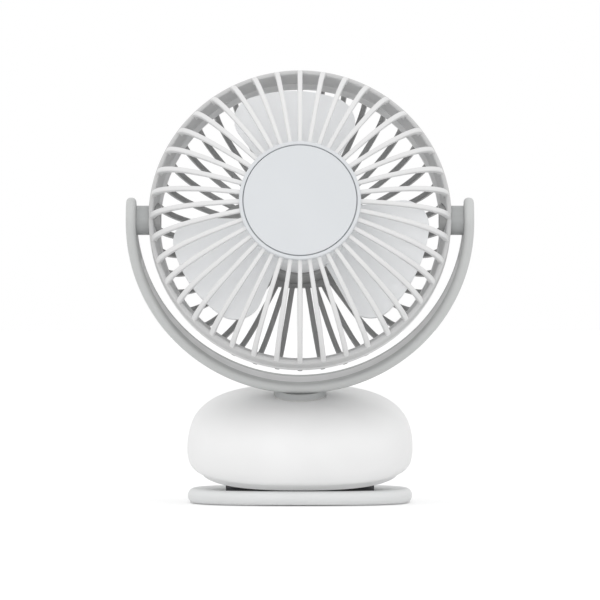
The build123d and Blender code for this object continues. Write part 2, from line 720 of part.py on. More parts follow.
def tact_switch():
    front = plunger_end() - PLUNGER_LEN
    half = SWITCH_SIZE / 2
    body = block(-half, half, front - SWITCH_BODY, front, BOARD_TOP, BOARD_TOP + SWITCH_SIZE)
    return upper(body + y_cylinder(PLUNGER_R, front - 0.5, plunger_end(), 0, BUTTON_H))


def status_leds():
    lights = []
    for i in range(LED_COUNT):
        x = LED_X + LED_PITCH * (i - (LED_COUNT - 1) / 2)
        lights.append(block(x - LED_SIZE / 2, x + LED_SIZE / 2, BOARD_BACK - 0.2 - LED_SIZE, BOARD_BACK - 0.2,
                            BOARD_TOP, BOARD_TOP + LED_SIZE))
    return upper(group(lights))


def power_button():
    back = BUTTON_BOSS_FACE - THRUST_GAP
    face = BODY_HALF_D + BUTTON_PROUD
    button = y_cylinder(BUTTON_R, back - 0.5, face, 0, BUTTON_H)
    button = fillet(button.edges().group_by(Axis.Y)[-1], 0.6)
    return upper(button + y_cylinder(BUTTON_FLANGE_R, back - BUTTON_FLANGE_T, back, 0, BUTTON_H))


def led_window():
    return upper(window_block(0) & body_solid(0.1))


def swivel_bush():
    bush = ring(BUSH_R, SHAFT_R + RUN_FIT, COLLAR_END, BODY_TOP + BUSH_FLANGE_T)
    return upper(bush + ring(BUSH_FLANGE_R, SHAFT_R + RUN_FIT, BODY_TOP, BODY_TOP + BUSH_FLANGE_T))


# ---------------------------------------------------------------- bow and swivel neck


def bow_section(outer, inner, width, start_angle):
    """Part of a ring about the middle of the head, lying across; the angle is measured below the tips."""
    half = width / 2
    body = y_cylinder(outer, -half, half) - y_cylinder(inner, -half - 1, half + 1)
    low = -outer - 1
    rise = math.tan(math.radians(start_angle)) * (outer + 5)
    sector = Polyline((0, 0), (outer + 5, -rise), (outer + 5, low), (-outer - 5, low), (-outer - 5, -rise), close=True)
    return body & extrude(Plane.XZ * make_face(sector), width, both=True)


def neck_screw_places():
    """Side offset and seat height of the two screws, from the middle of the bow's circle."""
    return [(s * NECK_SCREW_X, -math.sqrt(CHANNEL_FLOOR ** 2 - (NECK_SCREW_X - SCREW_HEAD_R) ** 2)) for s in (-1, 1)]


def yoke_frame():
    bow = bow_section(BOW_R, BOW_INNER, BOW_W, 0)
    for side in (-1, 1):
        start = min(side * BOW_R, side * BOW_INNER)
        tip = x_cylinder(BOW_W / 2, start, start + BOW_T)
        bow += tip & block(-BOW_R, BOW_R, -BOW_W, BOW_W, 0, BOW_W)
    long_edges = [e for e in bow.edges() if e.length > 2 * BOW_T]
    bow = fillet(long_edges, BOW_ROUND)
    bow -= bow_section(CHANNEL_FLOOR, BOW_INNER - 2, CHANNEL_W, CHANNEL_END)
    bow -= x_cylinder(TRUNNION_R + MOVE_GAP, -BOW_INNER, BOW_INNER)
    bow -= x_cylinder(STUB_R + RUN_FIT, -BOW_R - 1, BOW_R + 1)
    recess = x_cylinder(PIVOT_RECESS_R, BOW_INNER + TIP_WALL, BOW_R + 1)
    bow -= recess
    bow -= mirror(recess, Plane.YZ)
    bow -= cylinder(SHAFT_BORE_R, -BOW_R - 1, -BOW_INNER)
    for x, seat in neck_screw_places():
        bow -= cylinder(SCREW_R + THREAD_GAP, -BOW_R - 1, -BOW_INNER, x)
        bow -= cylinder(SCREW_HEAD_R + SEAT_GAP, seat, seat + 2, x)
    return upper(Pos(0, 0, PIVOT_H) * bow)


def yoke_cover():
    strip = bow_section(BOW_INNER + BOW_COVER_T, BOW_INNER, CHANNEL_W - 2 * SEAT_GAP, CHANNEL_END + 0.1)
    return upper(Pos(0, 0, PIVOT_H) * strip)


def motor_lead():
    lead_r = CHANNEL_FLOOR - LEAD_R - 2 * SEAT_GAP
    hole_y = 1.5
    path = [(0, hole_y, SHAFT_END + 0.5 - PIVOT_H), (0, hole_y, SHAFT_END + 6 - PIVOT_H)]
    path.append((0, hole_y, -BOW_R - 0.8))
    path.append((1.0, hole_y + 0.6, -lead_r - 0.2))
    for i in range(4, 76, 3):
        a = math.radians(i)
        path.append((lead_r * math.sin(a), LEAD_OFFSET, -lead_r * math.cos(a)))
    line = Spline(*path)
    lead = sweep(Plane(origin=line @ 0, z_dir=line % 0) * Circle(LEAD_R), line)
    return upper(Pos(0, 0, PIVOT_H) * lead)


def swivel_neck():
    neck = cylinder(NECK_R, NECK_BOTTOM, BOW_FOOT_H + 3)
    neck -= Pos(0, 0, PIVOT_H) * y_cylinder(BOW_R, -BOW_W, BOW_W)
    neck += cylinder(SHAFT_R, SHAFT_END, NECK_BOTTOM + 1)
    neck -= cylinder(SHAFT_BORE_R, SHAFT_END - 1, PIVOT_H)
    groove_top = COLLAR_END - THRUST_GAP + SEAT_GAP
    neck -= ring(SHAFT_R + 1, SHAFT_R - CLIP_GROOVE, groove_top - CLIP_T - 2 * SEAT_GAP, groove_top)
    for x, seat in neck_screw_places():
        neck -= cylinder(SCREW_R + THREAD_GAP, NECK_BOTTOM + 0.4, PIVOT_H, x)
    return upper(neck)


def neck_screws():
    parts = []
    for x, seat in neck_screw_places():
        place = PIVOT_H + seat
        length = place - NECK_BOTTOM - 0.6
        parts.append(Pos(x, 0, place) * Rot(180, 0, 0) * screw(length))
    return upper(group(parts))


def swivel_circlip():
    top = COLLAR_END - THRUST_GAP
    clip = ring(CLIP_R, SHAFT_R - CLIP_GROOVE + SEAT_GAP, top - CLIP_T, top)
    return upper(clip - block(-1.6, 1.6, 0, CLIP_R + 1, 0, PIVOT_H))


def pivot_caps():
    cap = x_cylinder(PIVOT_RECESS_R - SEAT_GAP, BOW_R - PIVOT_CAP_T, BOW_R)
    return upper(Pos(0, 0, PIVOT_H) * both_sides(cap))


# ---------------------------------------------------------------- head


def front_grille():
    rim = turned((RING_INNER, SPLIT_F), (RING_OUTER, SPLIT_F), (RING_OUTER, RING_FRONT - RING_BEVEL),
                 (RING_OUTER - RING_BEVEL, RING_FRONT), (RING_OUTER - RING_LIP, RING_FRONT),
                 (RING_INNER, RING_FLARE_F))
    shell = domed_shell(HEAD_R, SPLIT_F, FRONT_SHOULDER, FRONT_F, FRONT_FLAT_R, 1)
    ribs = ribs_of(shell, HUB_INNER_R + 1, SPLIT_F, FRONT_F + 1)
    hub = ring(HUB_RING_R, HUB_INNER_R, CAP_SEAT - HUB_DISC_T, FRONT_F)
    hub += cylinder(HUB_RING_R, CAP_SEAT - HUB_DISC_T, CAP_SEAT)
    grille = rim.fuse(hub, *ribs)
    grille -= x_cylinder(PAD_R + MOVE_GAP, PAD_INNER - 3, HEAD_R + 5)
    grille -= x_cylinder(PAD_R + MOVE_GAP, -HEAD_R - 5, -PAD_INNER + 3)
    for x, y in grille_screw_places():
        grille -= cylinder(SCREW_R + THREAD_GAP, SPLIT_F - 1, RING_BACK + GRILLE_SCREW_LEN + 0.3, x, y)
    return head(grille)


def front_cap():
    top = FRONT_F
    ball_r = (CAP_R ** 2 + CAP_DOME ** 2) / (2 * CAP_DOME)
    dome = Pos(0, 0, top + CAP_DOME - ball_r) * Sphere(ball_r) & cylinder(CAP_R, top - 0.2, top + CAP_DOME + 1)
    return head(cylinder(CAP_R, CAP_SEAT, top) + dome)


def grille_screw_places():
    places = []
    for i in range(GRILLE_SCREW_COUNT):
        a = math.radians(GRILLE_SCREW_ANGLE + 360 * i / GRILLE_SCREW_COUNT)
        places.append((GRILLE_SCREW_R * math.cos(a), GRILLE_SCREW_R * math.sin(a)))
    return places


def rear_grille():
    throat_back = THROAT_F - THROAT_LEN
    rim = turned((RING_INNER, SPLIT_F), (RING_OUTER, SPLIT_F), (RING_OUTER, RING_STRAIGHT_F),
                 (RIM_BACK_R, RING_BACK),
                 (RING_BACK_INNER_R, RING_BACK), (THROAT_R, throat_back), (THROAT_R, THROAT_F))
    shell = domed_shell(RIM_BACK_R, -RING_BACK - 1, REAR_SHOULDER, REAR_F, REAR_FLAT_R, -1)
    ribs = ribs_of(shell, PLATE_OVAL_HALF_H - 2, -REAR_F - 1, RING_BACK + 1)
    plate = extrude(Pos(0, 0, -REAR_F) * Ellipse(PLATE_OVAL_HALF_W, PLATE_OVAL_HALF_H), SHELL_T)
    mount = turned((0, -REAR_F + SHELL_T), (MOUNT_REAR_R, -REAR_F + SHELL_T), (MOUNT_REAR_R, MOUNT_FLOOR),
                   (MOUNT_R, MOUNT_F), (MOUNT_R - MOUNT_WALL, MOUNT_F),
                   (MOUNT_REAR_R - MOUNT_WALL, MOUNT_FLOOR), (0, MOUNT_FLOOR))
    mount -= cylinder(MOUNT_REAR_R - MOUNT_WALL, -REAR_F + SHELL_T - 0.5, MOUNT_FLOOR - MOUNT_WALL)
    mount += ring(MOUNT_REAR_R - MOUNT_WALL + 0.3, MOUNT_REAR_R - MOUNT_WALL - LEDGE_W, MOUNT_FLOOR - 0.5, MOTOR_BOARD_F)
    pad = x_cylinder(PAD_R, PAD_INNER, TRUNNION_SEAT)
    pads = both_sides(pad)
    bosses = []
    for side in (-1, 1):
        bosses.append(cylinder(BOSS_R, -REAR_F + 1, -REAR_F + SHELL_T + COVER_BOSS_LEN - 1, side * COVER_SCREW_X))
    grille = rim.fuse(plate, mount, *pads.solids(), *bosses, *ribs)
    seat = x_cylinder(TRUNNION_R + MOVE_GAP, TRUNNION_SEAT, HEAD_R + 5)
    spigot = x_cylinder(SPIGOT_R + THREAD_GAP, PAD_INNER - 1, TRUNNION_SEAT + 1)
    for tool in (seat, spigot):
        grille -= tool
        grille -= mirror(tool, Plane.YZ)
    for x, y in grille_screw_places():
        grille -= cylinder(SCREW_R + THREAD_GAP, RING_BACK - 1, SPLIT_F + 1, x, y)
    for side in (-1, 1):
        bore_end = -REAR_F - REAR_COVER_T + SCREW_HEAD_T + COVER_SCREW_LEN + 0.3
        grille -= cylinder(SCREW_R + THREAD_GAP, -REAR_F - 1, bore_end, side * COVER_SCREW_X)
    return head(grille)


def rear_cover():
    outline = Ellipse(PLATE_OVAL_HALF_W - REAR_COVER_INSET, PLATE_OVAL_HALF_H - REAR_COVER_INSET)
    cover = extrude(Pos(0, 0, -REAR_F - REAR_COVER_T) * outline, REAR_COVER_T)
    cover = fillet(cover.edges().group_by(Axis.Z)[0], REAR_COVER_ROUND)
    for side in (-1, 1):
        cover -= cylinder(SCREW_R + THREAD_GAP, -REAR_F - REAR_COVER_T - 1, -REAR_F + 1, side * COVER_SCREW_X)
        cover -= cylinder(SCREW_HEAD_R + SEAT_GAP, -REAR_F - REAR_COVER_T - 1,
                          -REAR_F - REAR_COVER_T + SCREW_HEAD_T, side * COVER_SCREW_X)
    return head(cover)


def cover_screws():
    seat = -REAR_F - REAR_COVER_T + SCREW_HEAD_T
    return head(group([screw(COVER_SCREW_LEN, s * COVER_SCREW_X, 0, seat) for s in (-1, 1)]))


def grille_screws():
    parts = []
    for x, y in grille_screw_places():
        shank = cylinder(SCREW_R, RING_BACK - SCREW_HEAD_T / 2, RING_BACK + GRILLE_SCREW_LEN, x, y)
        parts.append(shank + cylinder(GRILLE_SCREW_HEAD_R, RING_BACK - SCREW_HEAD_T, RING_BACK, x, y))
    return head(group(parts))


def trunnion(side):
    boss = x_cylinder(TRUNNION_R, TRUNNION_SEAT, BOW_INNER - THRUST_GAP)
    boss += x_cylinder(SPIGOT_R, PAD_INNER + 0.2, TRUNNION_SEAT + 1)
    boss += x_cylinder(STUB_R, BOW_INNER - 1, STUB_END)
    boss -= x_cylinder(PIVOT_SCREW_R + THREAD_GAP, STUB_END + PIVOT_WASHER_T - PIVOT_SCREW_LEN - 0.3, BOW_R)
    if side < 0:
        boss = mirror(boss, Plane.YZ)
    return head(boss)


def trunnion_washers():
    washer = x_cylinder(PIVOT_WASHER_R, STUB_END, STUB_END + PIVOT_WASHER_T)
    washer -= x_cylinder(PIVOT_SCREW_R + THREAD_GAP, STUB_END - 1, BOW_R)
    return head(both_sides(washer))


def trunnion_screws():
    seat = STUB_END + PIVOT_WASHER_T
    one = x_cylinder(PIVOT_SCREW_R, seat - PIVOT_SCREW_LEN, seat + 0.3)
    one += x_cylinder(PIVOT_SCREW_HEAD_R, seat, seat + PIVOT_SCREW_HEAD_T)
    return head(both_sides(one))


# ---------------------------------------------------------------- motor


def bearing_tube():
    tube = cylinder(TUBE_R, MOUNT_FLOOR, TUBE_FRONT) + cylinder(TUBE_FLANGE_R, MOUNT_FLOOR, MOUNT_FLOOR + TUBE_FLANGE_T)
    tube -= cylinder(TUBE_NECK_R, MOUNT_FLOOR - 1, TUBE_FRONT + 1)
    tube -= cylinder(TUBE_BORE_R + SEAT_GAP, MOUNT_FLOOR - 1, REAR_BEARING_F + BEARING_T)
    tube -= cylinder(TUBE_BORE_R + SEAT_GAP, TUBE_FRONT - BEARING_T, TUBE_FRONT + 1)
    return head(tube)


def bearings():
    rear = ring(BEARING_R, BEARING_BORE_R + RUN_FIT, REAR_BEARING_F, REAR_BEARING_F + BEARING_T)
    front = ring(BEARING_R, BEARING_BORE_R + RUN_FIT, TUBE_FRONT - BEARING_T, TUBE_FRONT)
    return head(group([rear, front]))


def motor_board():
    return head(ring(MOTOR_BOARD_R, TUBE_R + 1, MOTOR_BOARD_F, MOTOR_BOARD_F + MOTOR_BOARD_T))


def stator():
    core = cylinder(STATOR_CORE_R, STATOR_BACK, STATOR_FRONT)
    shoe = ring(STATOR_SHOE_R, STATOR_SHOE_R - SHOE_T, STATOR_BACK, STATOR_FRONT)
    half = math.radians(SHOE_ANGLE / 2)
    far = STATOR_SHOE_R + 2
    wedge = make_face(Polyline((0, 0), (far, -far * math.tan(half)), (far, far * math.tan(half)), close=True))
    shoe &= extrude(Pos(0, 0, STATOR_BACK) * wedge, STATOR_FRONT - STATOR_BACK)
    pole = block(STATOR_CORE_R - 1, STATOR_SHOE_R - SHOE_T / 2, -POLE_W / 2, POLE_W / 2, STATOR_BACK, STATOR_FRONT)
    pole += shoe
    poles = [Rot(0, 0, 360 * i / STATOR_POLES) * pole for i in range(STATOR_POLES)]
    return head(core.fuse(*poles) - cylinder(TUBE_R + SEAT_GAP, STATOR_BACK - 1, STATOR_FRONT + 1))


def windings():
    inner = STATOR_CORE_R + 1.2
    outer_box = block(inner, WINDING_REACH, -POLE_W / 2 - WINDING_T, POLE_W / 2 + WINDING_T,
                      STATOR_BACK - WINDING_T, STATOR_FRONT + WINDING_T)
    hole = block(inner - 1, WINDING_REACH + 1, -POLE_W / 2 - SEAT_GAP, POLE_W / 2 + SEAT_GAP,
                 STATOR_BACK - SEAT_GAP, STATOR_FRONT + SEAT_GAP)
    neighbour = math.radians(180 / STATOR_POLES)
    far = WINDING_REACH + 4
    wedge = make_face(Polyline((0.4, 0), (far, -(far - 0.4) * math.tan(neighbour)),
                               (far, (far - 0.4) * math.tan(neighbour)), close=True))
    room = extrude(Pos(0, 0, STATOR_BACK - 3) * wedge, STATOR_FRONT - STATOR_BACK + 6)
    one = (outer_box - hole) & room
    return head(group([Rot(0, 0, 360 * i / STATOR_POLES) * one for i in range(STATOR_POLES)]))


# ---------------------------------------------------------------- fan wheel


def blade():
    """One broad pitched blade: a twisted slab trimmed to a rounded outline."""
    sections = []
    half = BLADE_SPAN / 2 + 2
    for i in range(BLADE_SECTIONS):
        a = -half + 2 * half * i / (BLADE_SECTIONS - 1)
        high = BLADE_MID_F + BLADE_RISE * a / BLADE_SPAN
        face = Pos((HUB_R + BLADE_TIP_R) / 2, high) * Rectangle(BLADE_TIP_R - HUB_R + 8, BLADE_T)
        sections.append(Rot(0, 0, a) * (Plane.XZ * face))
    slab = loft(sections)
    a = math.radians(BLADE_SPAN / 2)
    inner = HUB_R - HUB_WALL / 2
    inner_low = (inner * math.cos(a), -inner * math.sin(a))
    inner_high = (inner * math.cos(a), inner * math.sin(a))
    outer_low = (BLADE_TIP_R * math.cos(a), -BLADE_TIP_R * math.sin(a))
    outer_high = (BLADE_TIP_R * math.cos(a), BLADE_TIP_R * math.sin(a))
    outline = make_face(Curve() + [
        ThreePointArc(inner_low, (inner, 0), inner_high),
        Line(inner_high, outer_high),
        ThreePointArc(outer_high, (BLADE_TIP_R, 0), outer_low),
        Line(outer_low, inner_low),
    ])
    corners = outline.vertices().sort_by(SortBy.DISTANCE)[-2:]
    outline = fillet(corners, BLADE_CORNER)
    return slab & extrude(Pos(0, 0, BLADE_MID_F - BLADE_RISE) * outline, 2 * BLADE_RISE)


def impeller():
    hub = cylinder(HUB_R, HUB_BACK, HUB_FRONT)
    hub = fillet(hub.edges().group_by(Axis.Z)[-1], HUB_ROUND)
    hub -= cylinder(HUB_R - HUB_WALL, HUB_BACK - 1, HUB_FRONT - HUB_WALL)
    hub += cylinder(AXLE_SEAT_R, TUBE_FRONT + MOVE_GAP, HUB_FRONT - HUB_WALL + 0.5)
    hub -= cylinder(AXLE_R + THREAD_GAP, HUB_BACK, AXLE_FRONT)
    one = blade()
    for i in range(BLADE_COUNT):
        hub += Rot(0, 0, BLADE_FIRST + 360 * i / BLADE_COUNT) * one
    return head(hub)


def rotor_cup():
    outer = MAGNET_R + CUP_T
    front = HUB_FRONT - HUB_WALL
    cup = cylinder(outer, CUP_BACK, front) - cylinder(MAGNET_R, CUP_BACK - 1, front - CUP_T)
    return head(cup - cylinder(AXLE_SEAT_R + SEAT_GAP, 0, front + 1))


def magnet_ring():
    front = HUB_FRONT - HUB_WALL - CUP_T
    back = (STATOR_BACK + STATOR_FRONT - MAGNET_LEN) / 2 + 1.2
    back = max(back, CUP_BACK)
    return head(ring(MAGNET_R - SEAT_GAP, MAGNET_R - MAGNET_T, back, min(back + MAGNET_LEN, front)))


def motor_shaft():
    return head(cylinder(AXLE_R, AXLE_BACK, AXLE_FRONT - 0.2))


def shaft_clip():
    top = REAR_BEARING_F - THRUST_GAP
    return head(ring(SHAFT_CLIP_R, AXLE_R + THREAD_GAP, top - SHAFT_CLIP_T, top))


# ---------------------------------------------------------------- saving
os.makedirs("parts", exist_ok=True)
NODES = [
    plate_shell, plate_cover, plate_screws, foot_pad, lower_grip_pad, hinge_pin, torsion_spring,
    body_shell, body_base, body_screws, upper_grip_pad, battery_cell, battery_cradle,
    main_board, board_screws, usb_port, tact_switch, status_leds, power_button, led_window, swivel_bush,
    yoke_frame, yoke_cover, motor_lead, swivel_neck, neck_screws, swivel_circlip, pivot_caps,
    front_grille, front_cap, rear_grille, rear_cover, cover_screws, grille_screws,
    trunnion_washers, trunnion_screws,
    bearing_tube, bearings, motor_board, stator, windings,
    impeller, rotor_cup, magnet_ring, motor_shaft, shaft_clip,
]
for node in NODES:
    save(node(), node.__name__)
save(trunnion(-1), "trunnion_left")
save(trunnion(1), "trunnion_right")
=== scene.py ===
# %% [markdown]
# A rechargeable clip fan, dressed in Blender round a imported CAD model.
# The CAD model is the fixed frame: it settles every size, place and joint. This lesson adds what a
# plain solid lacks: rounded ribs, real screw heads and finishes. It starts by loading the frame.

# %% Load the frame
import bpy
import bmesh
import json
import math
from mathutils import Matrix, Vector


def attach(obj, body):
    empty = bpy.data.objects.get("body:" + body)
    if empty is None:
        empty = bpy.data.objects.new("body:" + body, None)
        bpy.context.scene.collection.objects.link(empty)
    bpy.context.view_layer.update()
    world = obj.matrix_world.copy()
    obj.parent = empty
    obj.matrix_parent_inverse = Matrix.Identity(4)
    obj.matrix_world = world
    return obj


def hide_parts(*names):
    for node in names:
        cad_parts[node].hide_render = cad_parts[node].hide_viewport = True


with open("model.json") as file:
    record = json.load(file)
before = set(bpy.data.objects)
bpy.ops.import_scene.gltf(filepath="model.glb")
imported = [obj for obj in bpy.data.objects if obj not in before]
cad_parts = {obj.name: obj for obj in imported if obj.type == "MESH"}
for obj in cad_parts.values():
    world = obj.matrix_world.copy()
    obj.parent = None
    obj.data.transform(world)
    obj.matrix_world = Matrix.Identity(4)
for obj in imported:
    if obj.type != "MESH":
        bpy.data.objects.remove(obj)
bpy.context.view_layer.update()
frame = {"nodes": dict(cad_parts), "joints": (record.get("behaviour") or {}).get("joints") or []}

# %% [markdown]
# The fan leans. Its upper jaw tips forward on the lower one, and the head tips up again in the bow.
# The head is easiest to draw upright, so a matrix carries upright drawings, in millimetres, to
# their real place, in metres. Angles could be typed in for it, but the frame's joints already say
# where the tilt axis lies and which way the fan faces. A finished object then needs no turn of its
# own: its place is in its mesh, and patterns on Object coordinates stay put.

# %% Place of the head
MM = Matrix.Scale(0.001, 4)
joints = {joint["name"]: joint for joint in frame["joints"]}
across = Vector(joints["head_tilt"]["axis"])
forward = Vector(joints["fan_spin"]["axis"])
facing = Matrix((across, forward.cross(across), forward)).transposed().to_4x4()
HEAD = Matrix.Translation(joints["head_tilt"]["pos_m"]) @ facing @ MM
print("tilt axis at", [round(v, 5) for v in HEAD.translation])


def finished(name, mesh, place, material, body, smooth_below=35):
    """Makes an object of a mesh drawn in millimetres, shades it and lets it ride on a body."""
    mesh.transform(place)
    mesh.shade_smooth()
    mesh.set_sharp_from_angle(angle=math.radians(smooth_below))
    mesh.materials.clear()
    mesh.materials.append(material)
    piece = bpy.data.objects.new(name, mesh)
    bpy.context.scene.collection.objects.link(piece)
    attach(piece, body)
    print(name, len(mesh.polygons), "faces")
    return piece


# %% [markdown]
# Moulded plastic is never a flat colour. A spark-eroded mould leaves a fine grain, the colour
# drifts a little where the plastic flowed, and both change how light scatters. Rubber has the
# same kind of grain, only coarser. One node group serves them all: it gives out a
# colour, a roughness and a height, and each material feeds those to its own shader.

# %% Mould grain group


def mould_grain_group():
    group = bpy.data.node_groups.new("mould_grain", "ShaderNodeTree")
    face = group.interface
    face.new_socket("Vector", in_out="INPUT", socket_type="NodeSocketVector")
    for name in ("Color", "Flow Color"):
        face.new_socket(name, in_out="INPUT", socket_type="NodeSocketColor")
    for name in ("Grain Scale", "Flow Scale", "Smooth", "Rough"):
        face.new_socket(name, in_out="INPUT", socket_type="NodeSocketFloat")
    face.new_socket("Color", in_out="OUTPUT", socket_type="NodeSocketColor")
    face.new_socket("Roughness", in_out="OUTPUT", socket_type="NodeSocketFloat")
    face.new_socket("Height", in_out="OUTPUT", socket_type="NodeSocketFloat")
    nodes, links = group.nodes, group.links
    source = nodes.new("NodeGroupInput")
    result = nodes.new("NodeGroupOutput")
    grain = nodes.new("ShaderNodeTexNoise")
    grain.inputs["Detail"].default_value = 3
    grain.inputs["Roughness"].default_value = 0.6
    flow = nodes.new("ShaderNodeTexNoise")
    flow.inputs["Detail"].default_value = 2
    flow.inputs["Distortion"].default_value = 0.6
    for texture, scale in ((grain, "Grain Scale"), (flow, "Flow Scale")):
        links.new(source.outputs["Vector"], texture.inputs["Vector"])
        links.new(source.outputs[scale], texture.inputs["Scale"])
    soften = nodes.new("ShaderNodeMapRange")
    soften.inputs["From Min"].default_value = 0.35
    soften.inputs["From Max"].default_value = 0.65
    links.new(flow.outputs["Fac"], soften.inputs["Value"])
    tint = nodes.new("ShaderNodeMix")
    tint.data_type = "RGBA"
    links.new(soften.outputs["Result"], tint.inputs["Factor"])
    links.new(source.outputs["Color"], tint.inputs["A"])
    links.new(source.outputs["Flow Color"], tint.inputs["B"])
    rough = nodes.new("ShaderNodeMapRange")
    rough.inputs["From Min"].default_value = 0.3
    rough.inputs["From Max"].default_value = 0.7
    links.new(grain.outputs["Fac"], rough.inputs["Value"])
    links.new(source.outputs["Smooth"], rough.inputs["To Min"])
    links.new(source.outputs["Rough"], rough.inputs["To Max"])
    links.new(tint.outputs["Result"], result.inputs["Color"])
    links.new(rough.outputs["Result"], result.inputs["Roughness"])
    links.new(grain.outputs["Fac"], result.inputs["Height"])
    return group


MOULD_GRAIN = mould_grain_group()
print("mould grain group:", len(MOULD_GRAIN.nodes), "nodes")

# %% [markdown]
# Every plastic and rubber piece now takes its finish from one function. The bump is small: real
# grain is a few hundredths of a millimetre deep. The specular level stays a plain number on
# the shader, because the exported model keeps only numbers that are set there.

# %% Moulded materials


def moulded(name, color, flow=0.96, smooth=0.42, rough=0.55, grain=1400, depth=0.00002):
    """A moulded plastic or rubber; flow darkens the colour a little where the melt flowed."""
    material = bpy.data.materials.new(name)
    material.use_nodes = True
    nodes, links = material.node_tree.nodes, material.node_tree.links
    shader = nodes["Principled BSDF"]
    shader.inputs["Specular IOR Level"].default_value = 0.45
    where = nodes.new("ShaderNodeTexCoord")
    grain_node = nodes.new("ShaderNodeGroup")
    grain_node.node_tree = MOULD_GRAIN
    grain_node.inputs["Color"].default_value = (*color, 1)
    grain_node.inputs["Flow Color"].default_value = (*(c * flow for c in color), 1)
    grain_node.inputs["Grain Scale"].default_value = grain
    grain_node.inputs["Flow Scale"].default_value = 22
    grain_node.inputs["Smooth"].default_value = smooth
    grain_node.inputs["Rough"].default_value = rough
    bump = nodes.new("ShaderNodeBump")
    bump.inputs["Strength"].default_value = 0.35
    bump.inputs["Distance"].default_value = depth
    links.new(where.outputs["Object"], grain_node.inputs["Vector"])
    links.new(grain_node.outputs["Color"], shader.inputs["Base Color"])
    links.new(grain_node.outputs["Roughness"], shader.inputs["Roughness"])
    links.new(grain_node.outputs["Height"], bump.inputs["Height"])
    links.new(bump.outputs["Normal"], shader.inputs["Normal"])
    return material


print("moulding finish ready")

# %% [markdown]
# The fan is all pale plastic, yet no two mouldings are the same white. Each shade here is set
# against the photograph. The rear moulding and the front ring are the same white plastic, given a
# greyer colour as painted shade for the shadow inside the head. Darkening them with lamps instead
# would go wrong as soon as the fan is seen from another side. Only the grip pads and the foot are rubber.

# %% Plastics and rubber of the fan
SHELL_WHITE = moulded("shell_white_plastic", (0.88, 0.88, 0.88))
JAW_WHITE = moulded("jaw_plastic", (0.76, 0.77, 0.77))
BOW_WHITE = moulded("bow_plastic", (0.58, 0.59, 0.585))
GRILLE_WHITE = moulded("grille_plastic", (0.78, 0.78, 0.78), smooth=0.36, rough=0.48)
# Painted shade: the rear moulding is white plastic, greyed to stand in for the shadow inside the head.
REAR_PAINTED_SHADE = moulded("rear_grille_painted_shade", (0.36, 0.36, 0.36), smooth=0.40, rough=0.52)
# Painted shade: the front ring is white plastic, greyed for the shadow on its lip and inner side.
RING_PAINTED_SHADE = moulded("ring_painted_shade", (0.6, 0.6, 0.6), smooth=0.40, rough=0.52)
TRUNNION_GREY = moulded("trunnion_plastic", (0.42, 0.43, 0.43), smooth=0.36, rough=0.5)
CAP_SATIN = moulded("cap_satin", (0.68, 0.70, 0.72), flow=0.98, smooth=0.30, rough=0.38,
                    grain=2200)
WHEEL_WHITE = moulded("fan_wheel_plastic", (0.90, 0.91, 0.92), smooth=0.30, rough=0.42)
RUBBER = moulded("grip_rubber", (0.07, 0.07, 0.075), flow=0.85, smooth=0.72, rough=0.9,
                 grain=900, depth=0.00006)
BLACK_PLASTIC = moulded("inner_black_plastic", (0.03, 0.03, 0.032), smooth=0.4, rough=0.6)
CELL_WRAP = moulded("cell_wrap", (0.06, 0.17, 0.42), flow=0.9, smooth=0.18, rough=0.3, grain=300)
WIRE_SLEEVE = moulded("wire_sleeve", (0.42, 0.02, 0.02), smooth=0.35, rough=0.5)
# Partly painted shade: the bush is greyed to match the shaded foot of the neck under the head.
ACETAL = moulded("bush_acetal", (0.52, 0.52, 0.51), smooth=0.25, rough=0.35)
LED_LENS = moulded("led_lens", (0.9, 0.88, 0.72), smooth=0.12, rough=0.2)
MAGNET = moulded("sintered_magnet", (0.05, 0.05, 0.055), smooth=0.45, rough=0.7,
                 grain=3000, depth=0.00004)
print("moulded materials:", len(bpy.data.materials))

# %% [markdown]
# Metal pieces are turned, drawn or stamped, and each leaves fine lines. A second group
# stretches noise along one axis for such lines. The same lines, stretched across the stack,
# show the thin sheets of the motor's core, and wound wire is lines too, only coarser.

# %% Line finish group


def line_finish_group():
    group = bpy.data.node_groups.new("line_finish", "ShaderNodeTree")
    face = group.interface
    face.new_socket("Vector", in_out="INPUT", socket_type="NodeSocketVector")
    face.new_socket("Stretch", in_out="INPUT", socket_type="NodeSocketVector")
    for name in ("Color", "Line Color"):
        face.new_socket(name, in_out="INPUT", socket_type="NodeSocketColor")
    for name in ("Smooth", "Rough"):
        face.new_socket(name, in_out="INPUT", socket_type="NodeSocketFloat")
    face.new_socket("Color", in_out="OUTPUT", socket_type="NodeSocketColor")
    face.new_socket("Roughness", in_out="OUTPUT", socket_type="NodeSocketFloat")
    face.new_socket("Height", in_out="OUTPUT", socket_type="NodeSocketFloat")
    nodes, links = group.nodes, group.links
    source = nodes.new("NodeGroupInput")
    result = nodes.new("NodeGroupOutput")
    stretch = nodes.new("ShaderNodeVectorMath")
    stretch.operation = "MULTIPLY"
    links.new(source.outputs["Vector"], stretch.inputs[0])
    links.new(source.outputs["Stretch"], stretch.inputs[1])
    lines = nodes.new("ShaderNodeTexNoise")
    lines.inputs["Scale"].default_value = 1
    lines.inputs["Detail"].default_value = 2
    links.new(stretch.outputs["Vector"], lines.inputs["Vector"])
    tint = nodes.new("ShaderNodeMix")
    tint.data_type = "RGBA"
    links.new(lines.outputs["Fac"], tint.inputs["Factor"])
    links.new(source.outputs["Color"], tint.inputs["A"])
    links.new(source.outputs["Line Color"], tint.inputs["B"])
    rough = nodes.new("ShaderNodeMapRange")
    links.new(lines.outputs["Fac"], rough.inputs["Value"])
    links.new(source.outputs["Smooth"], rough.inputs["To Min"])
    links.new(source.outputs["Rough"], rough.inputs["To Max"])
    links.new(tint.outputs["Result"], result.inputs["Color"])
    links.new(rough.outputs["Result"], result.inputs["Roughness"])
    links.new(lines.outputs["Fac"], result.inputs["Height"])
    return group


LINE_FINISH = line_finish_group()
print("line finish group:", len(LINE_FINISH.nodes), "nodes")

